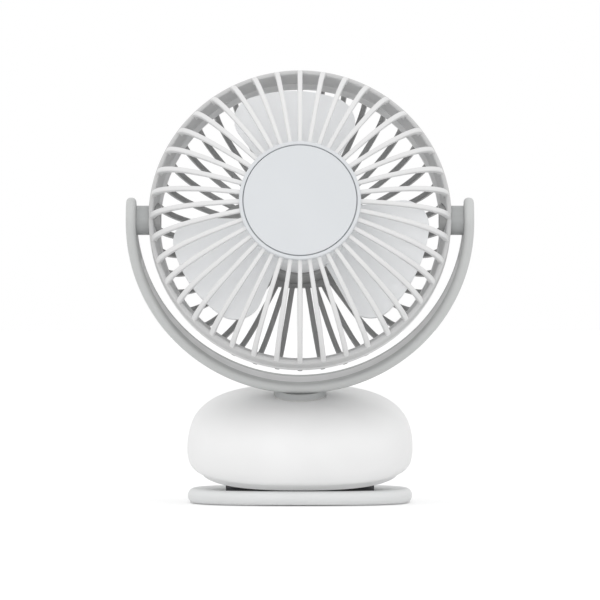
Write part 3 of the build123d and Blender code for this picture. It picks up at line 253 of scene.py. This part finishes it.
# %% [markdown]
# The metal pieces differ in colour and in the way their lines run: along a drawn wire, across
# a turned head, through a stack of sheets. The Stretch value sets that way, with large numbers
# across the lines and a small one along them.

# %% Metals of the fan


def lined_metal(name, color, line_color, stretch, smooth=0.25, rough=0.45):
    """A metal whose fine lines run along the axis with the smallest stretch."""
    material = bpy.data.materials.new(name)
    material.use_nodes = True
    nodes, links = material.node_tree.nodes, material.node_tree.links
    shader = nodes["Principled BSDF"]
    shader.inputs["Metallic"].default_value = 1.0
    where = nodes.new("ShaderNodeTexCoord")
    lines = nodes.new("ShaderNodeGroup")
    lines.node_tree = LINE_FINISH
    lines.inputs["Stretch"].default_value = stretch
    lines.inputs["Color"].default_value = (*color, 1)
    lines.inputs["Line Color"].default_value = (*line_color, 1)
    lines.inputs["Smooth"].default_value = smooth
    lines.inputs["Rough"].default_value = rough
    bump = nodes.new("ShaderNodeBump")
    bump.inputs["Strength"].default_value = 0.4
    bump.inputs["Distance"].default_value = 0.00001
    links.new(where.outputs["Object"], lines.inputs["Vector"])
    links.new(lines.outputs["Color"], shader.inputs["Base Color"])
    links.new(lines.outputs["Roughness"], shader.inputs["Roughness"])
    links.new(lines.outputs["Height"], bump.inputs["Height"])
    links.new(bump.outputs["Normal"], shader.inputs["Normal"])
    return material


STEEL = lined_metal("drawn_steel", (0.60, 0.61, 0.63), (0.48, 0.49, 0.51), (300, 4000, 4000))
SCREW_STEEL = lined_metal("screw_steel", (0.52, 0.52, 0.54), (0.42, 0.42, 0.44), (2500, 2500, 600))
PORT_PLATE = lined_metal("port_plating", (0.72, 0.72, 0.74), (0.64, 0.64, 0.66), (900, 200, 3000),
                         smooth=0.12, rough=0.24)
CORE_SHEETS = lined_metal("core_sheets", (0.16, 0.16, 0.17), (0.08, 0.08, 0.09), (60, 2600, 600),
                          smooth=0.4, rough=0.6)
COPPER_WIRE = lined_metal("winding_copper", (0.62, 0.28, 0.12), (0.40, 0.14, 0.05), (2400, 700, 2400),
                          smooth=0.2, rough=0.4)
print("materials in all:", len(bpy.data.materials))

# %% [markdown]
# Two finishes are special. The circuit boards are green with paler copper tracks under the
# mask, made here from a brick pattern. The light window in the back of the body is frosted, so the
# little lamps behind it show only as a soft blur.

# %% Board and window materials


def board_material():
    material = moulded("board_mask", (0.02, 0.16, 0.06), smooth=0.25, rough=0.35)
    nodes, links = material.node_tree.nodes, material.node_tree.links
    shader = nodes["Principled BSDF"]
    tracks = nodes.new("ShaderNodeTexBrick")
    tracks.inputs["Scale"].default_value = 260
    tracks.inputs["Mortar Size"].default_value = 0.06
    tracks.inputs["Color1"].default_value = (0.015, 0.13, 0.05, 1)
    tracks.inputs["Color2"].default_value = (0.02, 0.17, 0.07, 1)
    tracks.inputs["Mortar"].default_value = (0.07, 0.30, 0.12, 1)
    where = nodes.new("ShaderNodeTexCoord")
    links.new(where.outputs["Object"], tracks.inputs["Vector"])
    links.new(tracks.outputs["Color"], shader.inputs["Base Color"])
    return material


BOARD = board_material()
WINDOW = moulded("frosted_window", (0.90, 0.91, 0.92), smooth=0.45, rough=0.6)
window_shader = WINDOW.node_tree.nodes["Principled BSDF"]
window_shader.inputs["Transmission Weight"].default_value = 0.55
print("board and window ready")

# %% [markdown]
# Many CAD pieces already have the right shape, and only need a finish. Their meshes arrive as
# loose flat triangles. A Weld modifier joins them and an Edge Split modifier keeps the crisp
# edges, so curved faces shade smoothly while the vertices of the frame stay untouched.

# %% Dress the carried-over nodes


def dress(material, *names, split=32):
    for name in names:
        piece = frame["nodes"][name]
        for slot in piece.material_slots:
            slot.material = material
        if not piece.material_slots:
            piece.data.materials.append(material)
        for face in piece.data.polygons:
            face.use_smooth = True
        weld = piece.modifiers.new("weld", "WELD")
        weld.merge_threshold = 0.000002
        edges = piece.modifiers.new("crisp edges", "EDGE_SPLIT")
        edges.split_angle = math.radians(split)


dress(SHELL_WHITE, "body_shell", "body_base", "power_button", "yoke_cover")
dress(JAW_WHITE, "plate_shell", "plate_cover")
dress(BOW_WHITE, "yoke_frame", "pivot_caps")
# The swivel neck takes the trunnion grey partly as painted shade, for its place in the head's shadow.
dress(TRUNNION_GREY, "trunnion_left", "trunnion_right", "swivel_neck")
dress(CAP_SATIN, "rear_cover")
dress(WHEEL_WHITE, "impeller")
dress(RUBBER, "foot_pad", "lower_grip_pad", "upper_grip_pad")
dress(STEEL, "hinge_pin", "torsion_spring", "swivel_circlip", "trunnion_washers", "bearing_tube",
      "bearings", "rotor_cup", "motor_shaft", "shaft_clip")
dress(SCREW_STEEL, "body_screws", "board_screws", "neck_screws", "trunnion_screws")
dress(CORE_SHEETS, "stator")
dress(COPPER_WIRE, "windings")
dress(MAGNET, "magnet_ring")
dress(BOARD, "main_board", "motor_board")
dress(BLACK_PLASTIC, "battery_cradle", "tact_switch")
dress(CELL_WRAP, "battery_cell")
dress(PORT_PLATE, "usb_port")
dress(LED_LENS, "status_leds")
dress(WINDOW, "led_window")
dress(WIRE_SLEEVE, "motor_lead")
# The bush's grey is partly painted shade.
dress(ACETAL, "swivel_bush")
print("nodes in all:", len(frame["nodes"]))

# %% [markdown]
# Round things come from two small tools. The first eases the corners of a flat outline with
# short arcs: moulded plastic has no knife edges, and each rounded corner catches a thin line of
# light. The second turns an outline about the head's axis. Its last row of faces
# joins the first and points on the axis are shared, so no seam or pinhole is left open.

# %% Outlines and turned meshes


def as_mesh(shape, name):
    """Closes a bmesh: normals outward, then a mesh."""
    bmesh.ops.recalc_face_normals(shape, faces=shape.faces)
    mesh = bpy.data.meshes.new(name)
    shape.to_mesh(mesh)
    shape.free()
    return mesh


def eased(outline, radius, steps=3):
    """Rounds the corners of a closed flat outline; corners on the axis stay."""
    points = []
    for i, corner in enumerate(outline):
        here = Vector(corner)
        if here.x < 0.000001:
            points.append(here)
            continue
        before = Vector(outline[i - 1]) - here
        after = Vector(outline[(i + 1) % len(outline)]) - here
        reach = min(radius, before.length / 2.2, after.length / 2.2)
        start = here + before.normalized() * reach
        end = here + after.normalized() * reach
        for k in range(steps + 1):
            t = k / steps
            points.append(start * (1 - t) ** 2 + here * 2 * t * (1 - t) + end * t ** 2)
    return points


def turned_mesh(name, outline, steps=180):
    """Solid of revolution about Z; the outline holds (radius, height) points."""
    shape = bmesh.new()
    rows = []
    for radius, height in outline:
        if radius < 0.000001:
            rows.append([shape.verts.new((0, 0, height))] * steps)
            continue
        turns = [2 * math.pi * k / steps for k in range(steps)]
        rows.append([shape.verts.new((radius * math.cos(a), radius * math.sin(a), height)) for a in turns])
    for i, row in enumerate(rows):
        after = rows[(i + 1) % len(rows)]
        if row[0] is row[1] and after[0] is after[1]:
            continue
        for k in range(steps):
            ring = (row[k], row[(k + 1) % steps], after[(k + 1) % steps], after[k])
            shape.faces.new(list(dict.fromkeys(ring)))
    return as_mesh(shape, name)


print("outline tools ready")

# %% [markdown]
# Most pieces of a moulding are made apart and then put together. Joining keeps every part as it is.
# Cutting uses Boolean modifiers with the exact solver, the sound choice for the clean cylinders
# here. The result is taken as a plain mesh and the helper objects go again. The last two tools lay a
# turned mesh along the tilt axis, where the round pads and their clearances are.

# %% Joining and cutting


def joined(name, *meshes):
    """One mesh of several."""
    shape = bmesh.new()
    for mesh in meshes:
        shape.from_mesh(mesh)
    return as_mesh(shape, name)


def placed(name, mesh):
    """A bare helper object."""
    piece = bpy.data.objects.new(name, mesh)
    bpy.context.scene.collection.objects.link(piece)
    return piece


def baked(piece):
    """Mesh of an object with its modifiers applied; the object itself goes."""
    view = bpy.context.evaluated_depsgraph_get()
    mesh = bpy.data.meshes.new_from_object(piece.evaluated_get(view))
    bpy.data.objects.remove(piece)
    return mesh


def cut(mesh, cutters):
    """Takes the cutters out of a mesh."""
    base = placed("base", mesh)
    tools = [placed("cutter", cutter) for cutter in cutters]
    for tool in tools:
        modifier = base.modifiers.new("cut", "BOOLEAN")
        modifier.solver = "EXACT"
        modifier.object = tool
    result = baked(base)
    for tool in tools:
        bpy.data.objects.remove(tool)
    return result


def sideways(name, outline, side, steps=72):
    """A turned mesh whose axis is the tilt axis; heights count outward to one side."""
    mesh = turned_mesh(name, outline, steps)
    mesh.transform(Matrix.Rotation(side * math.pi / 2, 4, "Y"))
    return mesh


def round_bars(radius, start, end):
    """Plain bars along the tilt axis, one to each side."""
    outline = [(0, start), (radius, start), (radius, end), (0, end)]
    return [sideways("bar", outline, side) for side in (-1, 1)]


print("joining and cutting tools ready")

# %% [markdown]
# The two grilles have forty ribs each, so one Geometry Nodes tree makes both sets. Its input
# is a single rib's centre line. The tree sweeps a rounded section along it, slimmer towards the
# hub, puts a copy on each of Count points and turns every copy a step further. Then it makes the
# copies real and gives them their material.

# %% Rib tree


def rib_tree():
    tree = bpy.data.node_groups.new("ribs_round_an_axis", "GeometryNodeTree")
    face = tree.interface
    face.new_socket("Geometry", in_out="INPUT", socket_type="NodeSocketGeometry")
    face.new_socket("Count", in_out="INPUT", socket_type="NodeSocketInt")
    for name in ("Width", "Depth", "Round", "Taper"):
        face.new_socket(name, in_out="INPUT", socket_type="NodeSocketFloat")
    face.new_socket("Material", in_out="INPUT", socket_type="NodeSocketMaterial")
    face.new_socket("Geometry", in_out="OUTPUT", socket_type="NodeSocketGeometry")
    nodes, links = tree.nodes, tree.links
    source = nodes.new("NodeGroupInput")
    result = nodes.new("NodeGroupOutput")
    line = nodes.new("GeometryNodeMeshToCurve")
    level = nodes.new("GeometryNodeSetCurveNormal")
    level.mode = "Z_UP"
    section = nodes.new("GeometryNodeCurvePrimitiveQuadrilateral")
    soft = nodes.new("GeometryNodeFilletCurve")
    soft.mode = "POLY"
    soft.inputs["Count"].default_value = 3
    sweep = nodes.new("GeometryNodeCurveToMesh")
    sweep.inputs["Fill Caps"].default_value = True
    along = nodes.new("GeometryNodeSplineParameter")
    slim = nodes.new("ShaderNodeMapRange")
    slim.inputs["To Min"].default_value = 1.0
    spots = nodes.new("GeometryNodeMeshLine")
    spots.inputs["Offset"].default_value = (0, 0, 0)
    number = nodes.new("GeometryNodeInputIndex")
    share = nodes.new("ShaderNodeMath")
    share.operation = "DIVIDE"
    turn = nodes.new("ShaderNodeMath")
    turn.operation = "MULTIPLY"
    turn.inputs[1].default_value = 2 * math.pi
    angle = nodes.new("ShaderNodeCombineXYZ")
    copies = nodes.new("GeometryNodeInstanceOnPoints")
    real = nodes.new("GeometryNodeRealizeInstances")
    finish = nodes.new("GeometryNodeSetMaterial")
    links.new(source.outputs["Geometry"], line.inputs["Mesh"])
    links.new(line.outputs["Curve"], level.inputs["Curve"])
    links.new(source.outputs["Depth"], section.inputs["Width"])
    links.new(source.outputs["Width"], section.inputs["Height"])
    links.new(section.outputs["Curve"], soft.inputs["Curve"])
    links.new(source.outputs["Round"], soft.inputs["Radius"])
    links.new(level.outputs["Curve"], sweep.inputs["Curve"])
    links.new(soft.outputs["Curve"], sweep.inputs["Profile Curve"])
    links.new(along.outputs["Factor"], slim.inputs["Value"])
    links.new(source.outputs["Taper"], slim.inputs["To Max"])
    links.new(slim.outputs["Result"], sweep.inputs["Scale"])
    links.new(source.outputs["Count"], spots.inputs["Count"])
    links.new(number.outputs["Index"], share.inputs[0])
    links.new(source.outputs["Count"], share.inputs[1])
    links.new(share.outputs["Value"], turn.inputs[0])
    links.new(turn.outputs["Value"], angle.inputs["Y"])
    links.new(spots.outputs["Mesh"], copies.inputs["Points"])
    links.new(sweep.outputs["Mesh"], copies.inputs["Instance"])
    links.new(angle.outputs["Vector"], copies.inputs["Rotation"])
    links.new(copies.outputs["Instances"], real.inputs["Geometry"])
    links.new(real.outputs["Geometry"], finish.inputs["Geometry"])
    links.new(source.outputs["Material"], finish.inputs["Material"])
    links.new(finish.outputs["Geometry"], result.inputs["Geometry"])
    return tree


RIBS = rib_tree()
print("rib tree:", len(RIBS.nodes), "nodes")

# %% [markdown]
# A centre line is a short chain of edges in the XY plane: X is the distance from the head's axis
# and Y is the way forward. It could be a Bezier curve, but points worked out from the ellipse
# that the moulding follows all lie on it. Each rib is 2.3 mm wide and 2.7 mm deep. The set is
# turned upright in the end, so that forward is Z, as in the drawings of the head.

# %% Rib sets
RIB_COUNT = 40
RIB_WIDTH = 2.3
RIB_DEPTH = 2.7
RIB_ROUND = 0.6


def rib_set(name, centre_line, material, taper):
    """All ribs of one grille, about the head's axis; the centre line holds (radius, forward) points."""
    mesh = bpy.data.meshes.new(name)
    edges = [(i, i + 1) for i in range(len(centre_line) - 1)]
    mesh.from_pydata([(r, f, 0) for r, f in centre_line], edges, [])
    piece = placed(name, mesh)
    modifier = piece.modifiers.new("ribs", "NODES")
    modifier.node_group = RIBS
    values = {"Count": RIB_COUNT, "Width": RIB_WIDTH, "Depth": RIB_DEPTH, "Round": RIB_ROUND,
              "Taper": taper, "Material": material}
    for socket in RIBS.interface.items_tree:
        if socket.in_out == "INPUT" and socket.name in values:
            modifier[socket.identifier] = values[socket.name]
    ribs = baked(piece)
    ribs.transform(Matrix.Rotation(math.pi / 2, 4, "X"))
    return ribs


def rounded_side(flat_r, high, reach, rise, inner_r, steps=32):
    """From the side of the head over its elliptical shoulder towards its flat face."""
    points = []
    for i in range(steps + 1):
        turn = math.radians(90 * i / steps)
        r = flat_r + reach * math.cos(turn)
        if r >= inner_r - 0.001:
            points.append((r, high + rise * math.sin(turn)))
    return points


print("ribs in a set:", RIB_COUNT)

# %% [markdown]
# The front of the head is one moulding: a flared ring, forty ribs that rise from it and bow in, and
# the hub ring that holds the satin cap. A rib's line starts straight and then follows a wide
# ellipse as far as the hub, as the dome in the photograph does. Round pads stand at both ends
# of the tilt axis, and the ribs are cut away to clear them. The hub ring is a piece of its own
# here, because its finish is as satin as the cap.

# %% Front ribs and hub ring
RIB_FOOT_R = 63.3
HUB_OUT = 25.8
HUB_IN = 24.25
HUB_LOW = 32.4
HUB_TOP = 35.98
CAP_SEAT = 34.4
PAD_CLEAR = (7.3, 56.6, 70)  # radius, start and end of the room round each pad

front_line = [(RIB_FOOT_R, -0.5), (RIB_FOOT_R, 3.0)]
front_line += rounded_side(flat_r=10, high=5, reach=53.3, rise=29.6, inner_r=24.9)
front_ribs = cut(rib_set("ribs", front_line, GRILLE_WHITE, taper=0.78), round_bars(*PAD_CLEAR))
front = finished("front_ribs", front_ribs, HEAD, GRILLE_WHITE, "head")
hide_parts("front_grille")
hub_outline = [(0, HUB_LOW), (HUB_OUT, HUB_LOW), (HUB_OUT, HUB_TOP), (HUB_IN, HUB_TOP),
               (HUB_IN, CAP_SEAT), (0, CAP_SEAT)]
hub_mesh = turned_mesh("front_hub", eased(hub_outline, 0.45))
hub = finished("front_hub_ring", hub_mesh, HEAD, CAP_SATIN, "head")
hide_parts("front_grille")

# %% [markdown]
# The ribs of the front grille stand on a ring. Its inner side is straight at first and then flares,
# so that it guides the air and shows as a thin lip from the front. It is turned from one outline,
# cleared for the pads like the ribs, and coloured greyer than its plastic as painted shade.

# %% Front ring
RING_OUT = 64.85
RING_IN = 60.85
RING_JOINT = -1    # where the two rings meet
RING_FRONT = 7.6

front_outline = [(RING_IN, RING_JOINT), (RING_OUT, RING_JOINT), (RING_OUT, 7.0), (64.25, RING_FRONT),
                 (62.9, RING_FRONT), (RING_IN, 1.8)]
ring_mesh = turned_mesh("front_rim", eased(front_outline, 0.5), steps=240)
# The ring's greyer colour is painted shade.
front_ring = finished("front_ring", cut(ring_mesh, round_bars(*PAD_CLEAR)), HEAD, RING_PAINTED_SHADE, "head")
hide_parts("front_grille")

# %% [markdown]
# The cap in the middle is a thin disc with a slight dome, 0.7 mm high, and an eased rim. The dome is
# part of a large ball, so its outline is worked out from the ball's radius. A spherical top
# catches the light as one soft patch, where a flat disc would look like paper.

# %% Satin cap
CAP_R = 23.9
CAP_RIM = 36.0
CAP_TOP = 36.68
DOME_R = 23.5
DOME_RISE = 0.7
DOME_STEPS = 12

ball_r = (CAP_R ** 2 + DOME_RISE ** 2) / (2 * DOME_RISE)
dome = []
for i in range(DOME_STEPS):
    r = DOME_R * (1 - i / DOME_STEPS)
    dome.append((r, CAP_TOP - ball_r + math.sqrt(ball_r ** 2 - r ** 2)))
*rim, top = eased([(CAP_R, CAP_SEAT), (CAP_R, CAP_RIM), (0, CAP_TOP)], 0.35)
cap_mesh = turned_mesh("cap", [(0, CAP_SEAT)] + rim + dome + [top])
cap = finished("front_cap_disc", cap_mesh, HEAD, CAP_SATIN, "head", smooth_below=50)
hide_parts("front_cap")

# %% [markdown]
# The back is built alike, but flatter. Its ribs end under an oval plate, and a cup in the middle
# carries the motor. Neither an oval nor a stack of ovals is a turned shape, so the plate gets
# a small tool of its own, which joins rows of points that follow an ellipse.

# %% Oval plate tool


def oval_plate(name, half_w, half_h, low, high, ease=0.4, steps=160):
    """Flat oval with eased rims."""
    shape = bmesh.new()
    levels = [(low, ease), (low + ease * 0.3, ease * 0.3), (low + ease, 0), (high - ease, 0),
              (high - ease * 0.3, ease * 0.3), (high, ease)]
    rows = []
    for height, inset in levels:
        turns = [2 * math.pi * k / steps for k in range(steps)]
        rows.append([shape.verts.new(((half_w - inset) * math.cos(a), (half_h - inset) * math.sin(a), height))
                     for a in turns])
    for row, after in zip(rows, rows[1:]):
        for k in range(steps):
            shape.faces.new((row[k], row[(k + 1) % steps], after[(k + 1) % steps], after[k]))
    shape.faces.new(rows[0])
    shape.faces.new(rows[-1])
    return as_mesh(shape, name)


print("oval plate tool ready")

# %% [markdown]
# The rear ring meets the front one, narrows towards the back and has a throat just behind the
# blades. The rear ribs leave it, follow a steeper ellipse and run straight in under the
# oval plate.

# %% Back ring and ribs
RING_BACK = -8
THROAT_R = 59.9
TRUNNION_CLEAR = (6.7, 63.6, 70)  # radius, start and end of the room round each trunnion

rear_line = [(62.5, -7.2)]
rear_side = rounded_side(flat_r=36, high=8, reach=26.4, rise=28.6, inner_r=36)
rear_line += [(r, -forth) for r, forth in rear_side]
rear_line += [(28.0, -36.6), (19.4, -36.6)]
# The rear ribs take the greyer colour, which is painted shade.
rear_ribs = rib_set("rear_ribs", rear_line, REAR_PAINTED_SHADE, taper=0.94)
back_outline = [(RING_IN, RING_JOINT), (RING_OUT, RING_JOINT), (RING_OUT, -4.5), (63.9, RING_BACK),
                (60.9, RING_BACK), (THROAT_R, -7.2), (THROAT_R, -4.8)]
ring_mesh = turned_mesh("rear_rim", eased(back_outline, 0.4), steps=240)
back_ring = finished("rear_ring", cut(ring_mesh, round_bars(*TRUNNION_CLEAR)), HEAD, GRILLE_WHITE, "head")
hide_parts("rear_grille")

# %% [markdown]
# The motor stands in a cup whose front rim flares out. The cup, its floor, the oval plate, the
# ribs and the two round pads that carry the trunnions are one moulding, so they
# become one piece.

# %% Back moulding
CUP_R = 20
CUP_IN = 18.2
CUP_RIM = -3
FLOOR_TOP = -13
FLOOR_LOW = -14.8
OVAL_HALF_W = 41.2
OVAL_HALF_H = 21.2
PAD_R = 7.0
PAD_LOW = 59.6
PAD_TOP = 63.58
SPIGOT_CLEAR = 2.6

cup_outline = [(0, -35.0), (CUP_IN, -35.0), (CUP_IN, FLOOR_LOW), (22.2, CUP_RIM), (24, CUP_RIM),
               (CUP_R, FLOOR_TOP), (CUP_R, -35.3), (0, -35.3)]
cup = turned_mesh("mount", eased(cup_outline, 0.3))
cup_floor = turned_mesh("floor", [(0, FLOOR_LOW), (18.6, FLOOR_LOW), (18.6, FLOOR_TOP), (0, FLOOR_TOP)])
plate = oval_plate("plate", OVAL_HALF_W, OVAL_HALF_H, low=-38, high=-35.2)
pad_outline = eased([(SPIGOT_CLEAR, PAD_LOW), (PAD_R, PAD_LOW), (PAD_R, PAD_TOP), (SPIGOT_CLEAR, PAD_TOP)],
                    0.3)
pads = [sideways("pad", pad_outline, side) for side in (-1, 1)]
rear_mesh = joined("rear", rear_ribs, cup, cup_floor, plate, *pads)
# The whole rear moulding takes that greyer colour: painted shade.
rear = finished("rear_moulding", rear_mesh, HEAD, REAR_PAINTED_SHADE, "head")
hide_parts("rear_grille")

# %% [markdown]
# A screw's cross recess is what makes it read as a screw. One mesh serves every
# place: a second tree copies it to the points of a bare mesh, one group at a time. Copies
# by hand would do for ten screws, but a tree keeps them alike when one is changed.

# %% Screw tree


def screw_tree():
    tree = bpy.data.node_groups.new("screws_on_points", "GeometryNodeTree")
    face = tree.interface
    face.new_socket("Geometry", in_out="INPUT", socket_type="NodeSocketGeometry")
    face.new_socket("Screw", in_out="INPUT", socket_type="NodeSocketObject")
    face.new_socket("Material", in_out="INPUT", socket_type="NodeSocketMaterial")
    face.new_socket("Geometry", in_out="OUTPUT", socket_type="NodeSocketGeometry")
    nodes, links = tree.nodes, tree.links
    source = nodes.new("NodeGroupInput")
    result = nodes.new("NodeGroupOutput")
    shape = nodes.new("GeometryNodeObjectInfo")
    copies = nodes.new("GeometryNodeInstanceOnPoints")
    real = nodes.new("GeometryNodeRealizeInstances")
    finish = nodes.new("GeometryNodeSetMaterial")
    links.new(source.outputs["Geometry"], copies.inputs["Points"])
    links.new(source.outputs["Screw"], shape.inputs["Object"])
    links.new(shape.outputs["Geometry"], copies.inputs["Instance"])
    links.new(copies.outputs["Instances"], real.inputs["Geometry"])
    links.new(real.outputs["Geometry"], finish.inputs["Geometry"])
    links.new(source.outputs["Material"], finish.inputs["Material"])
    links.new(finish.outputs["Geometry"], result.inputs["Geometry"])
    return tree


SCREWS = screw_tree()
print("screw tree:", len(SCREWS.nodes), "nodes")

# %% [markdown]
# The screw is a pan head on a plain shank. Its thread is hidden in the plastic, so none is cut. Two
# crossed bars take the recess out of the head. Screws of one CAD node share a length and
# a head, and their places come as a list of points at the seat of the head.

# %% Screws
SHANK_R = 1.08
SCREW_HEAD_T = 0.9
POINT_LEN = 0.8
RECESS_HALF_W = 0.17
RECESS_DEPTH = 0.5
PLATE_SCREW_X = 36.5
PLATE_SCREW_Y = 23
RING_SCREW_R = 62.4
RING_SCREW_ANGLE = 40.5
COVER_SCREW_X = 31
COVER_SEAT = -39.7


def screw_mesh(head_r, length):
    """Pan-head screw pointing up, seated at height 0, with a cross recess in its head."""
    outline = [(0, -SCREW_HEAD_T), (head_r, -SCREW_HEAD_T), (head_r, 0), (SHANK_R, 0),
               (SHANK_R, length - POINT_LEN), (SHANK_R * 0.4, length), (0, length)]
    body = turned_mesh("screw", eased(outline, 0.22), steps=40)
    bars = []
    for wide, deep in ((head_r * 0.62, RECESS_HALF_W), (RECESS_HALF_W, head_r * 0.62)):
        bar = bmesh.new()
        bmesh.ops.create_cube(bar, size=2)
        for vert in bar.verts:
            vert.co = Vector((vert.co.x * wide, vert.co.y * deep, vert.co.z * RECESS_DEPTH - SCREW_HEAD_T))
        bars.append(as_mesh(bar, "bar"))
    return cut(body, bars)


def screws(name, node, head_r, length, places, place, body):
    """Screws at (x, y, seat height) places, for one CAD node."""
    pattern = placed("pattern", screw_mesh(head_r, length))
    spots = bpy.data.meshes.new(name)
    spots.from_pydata(places, [], [])
    piece = placed(name, spots)
    modifier = piece.modifiers.new("screws", "NODES")
    modifier.node_group = SCREWS
    values = {"Screw": pattern, "Material": SCREW_STEEL}
    for socket in SCREWS.interface.items_tree:
        if socket.in_out == "INPUT" and socket.name in values:
            modifier[socket.identifier] = values[socket.name]
    mesh = baked(piece)
    bpy.data.objects.remove(pattern)
    made = finished(name, mesh, place, SCREW_STEEL, body, smooth_below=40)
    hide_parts(node)


plate_places = [(sx * PLATE_SCREW_X, sy * PLATE_SCREW_Y, 1.4) for sx in (-1, 1) for sy in (-1, 1)]
screws("plate_cover_screws", "plate_screws", 2.0, 2.7, plate_places, MM, "lower_jaw")
ring_places = []
for i in range(4):
    a = math.radians(RING_SCREW_ANGLE + 90 * i)
    ring_places.append((RING_SCREW_R * math.cos(a), RING_SCREW_R * math.sin(a), RING_BACK))
screws("ring_screws", "grille_screws", 1.5, 9.0, ring_places, HEAD, "head")
cover_places = [(side * COVER_SCREW_X, 0, COVER_SEAT) for side in (-1, 1)]
screws("back_cover_screws", "cover_screws", 2.0, 6.0, cover_places, HEAD, "head")

# %% [markdown]
# The photograph was taken from far away with a level camera: the rims of the fan hardly grow
# towards the lens, and the plate is seen from its edge. So the scene uses a long lens, 2.2 m
# away, at about the middle of the fan's height.

# %% Camera
camera = bpy.data.objects.new("camera", bpy.data.cameras.new("camera"))
bpy.context.scene.collection.objects.link(camera)
camera.location = (0, -2.2249, 0.0877)
camera.rotation_euler = (math.pi / 2, 0, 0)
camera.data.sensor_width = 36
camera.data.lens = 307.7
camera.data.clip_start = 0.1
camera.data.clip_end = 30
bpy.context.scene.camera = camera
print("lens", camera.data.lens, "mm")

# %% [markdown]
# The floor and the world are white to the camera but light the fan no more than a plain
# studio would. Light Path tells the shader who is looking: the camera, glass and mirror-like
# reflections see white, everything else gets the plain level. The floor is white paper with a
# little glow added, so that it reaches white in the open and still keeps the fan's shadow.

# %% Floor and world
FLOOR_GAP = 0.00002  # keeps the paper just clear of the foot


def seen_white(tree, plain, white):
    """Mixes a plain shader with a white one that only the camera and clear reflections see."""
    path = tree.nodes.new("ShaderNodeLightPath")
    either = tree.nodes.new("ShaderNodeMath")
    either.operation = "MAXIMUM"
    glass = tree.nodes.new("ShaderNodeMath")
    glass.operation = "MAXIMUM"
    mix = tree.nodes.new("ShaderNodeMixShader")
    tree.links.new(path.outputs["Is Camera Ray"], either.inputs[0])
    tree.links.new(path.outputs["Is Glossy Ray"], either.inputs[1])
    tree.links.new(either.outputs[0], glass.inputs[0])
    tree.links.new(path.outputs["Is Transmission Ray"], glass.inputs[1])
    tree.links.new(glass.outputs[0], mix.inputs[0])
    tree.links.new(plain, mix.inputs[1])
    tree.links.new(white, mix.inputs[2])
    return mix.outputs[0]


def studio_world(level):
    world = bpy.data.worlds.new("studio")
    world.use_nodes = True
    tree = world.node_tree
    plain = tree.nodes["Background"]
    plain.inputs["Color"].default_value = (1, 1, 1, 1)
    plain.inputs["Strength"].default_value = level
    white = tree.nodes.new("ShaderNodeBackground")
    white.inputs["Color"].default_value = (1, 1, 1, 1)
    white.inputs["Strength"].default_value = 1
    shown = seen_white(tree, plain.outputs[0], white.outputs[0])
    tree.links.new(shown, tree.nodes["World Output"].inputs["Surface"])
    bpy.context.scene.world = world


def studio_floor(lift):
    bpy.ops.mesh.primitive_plane_add(size=24, location=(0, 0, -FLOOR_GAP))
    floor = bpy.context.object
    floor.name = "floor"
    material = bpy.data.materials.new("floor_paper")
    material.use_nodes = True
    tree = material.node_tree
    paper = tree.nodes["Principled BSDF"]
    paper.inputs["Base Color"].default_value = (0.82, 0.82, 0.82, 1)
    paper.inputs["Roughness"].default_value = 0.9
    paper.inputs["Specular IOR Level"].default_value = 0.1
    glow = tree.nodes.new("ShaderNodeEmission")
    glow.inputs["Color"].default_value = (1, 1, 1, 1)
    glow.inputs["Strength"].default_value = lift
    bright = tree.nodes.new("ShaderNodeAddShader")
    tree.links.new(paper.outputs[0], bright.inputs[0])
    tree.links.new(glow.outputs[0], bright.inputs[1])
    shown = seen_white(tree, paper.outputs[0], bright.outputs[0])
    tree.links.new(shown, tree.nodes["Material Output"].inputs["Surface"])
    floor.data.materials.append(material)


studio_world(0.95)
studio_floor(0.26)
print("studio ready")

# %% [markdown]
# Most of the light comes from all around, as in a light tent, and leaves pale plastic nearly flat.
# Four round area lamps, far weaker, give it some form: the front one brightens what faces
# the camera, the others the rims. They stay low enough that no white clips.

# %% Lamps


def soft_lamp(name, place, aim, size, watts):
    """A round area lamp that looks at a point."""
    lamp = bpy.data.objects.new(name, bpy.data.lights.new(name, "AREA"))
    lamp.data.shape = "DISK"
    lamp.data.size = size
    lamp.data.energy = watts
    lamp.location = place
    lamp.rotation_mode = "QUATERNION"
    lamp.rotation_quaternion = (Vector(aim) - Vector(place)).to_track_quat("-Z", "Y")
    bpy.context.scene.collection.objects.link(lamp)


soft_lamp("top lamp", (0.1, -0.8, 1.4), (0, -0.03, 0.1), 1.0, 1.5)
soft_lamp("left lamp", (-1.4, -0.5, 0.45), (0, -0.03, 0.06), 0.7, 0.6)
soft_lamp("right lamp", (1.4, -0.5, 0.45), (0, -0.03, 0.06), 0.7, 0.6)
soft_lamp("front lamp", (-0.2, -2.0, 0.3), (0, -0.03, 0.1), 0.7, 4)
bpy.context.scene.view_settings.view_transform = "Standard"
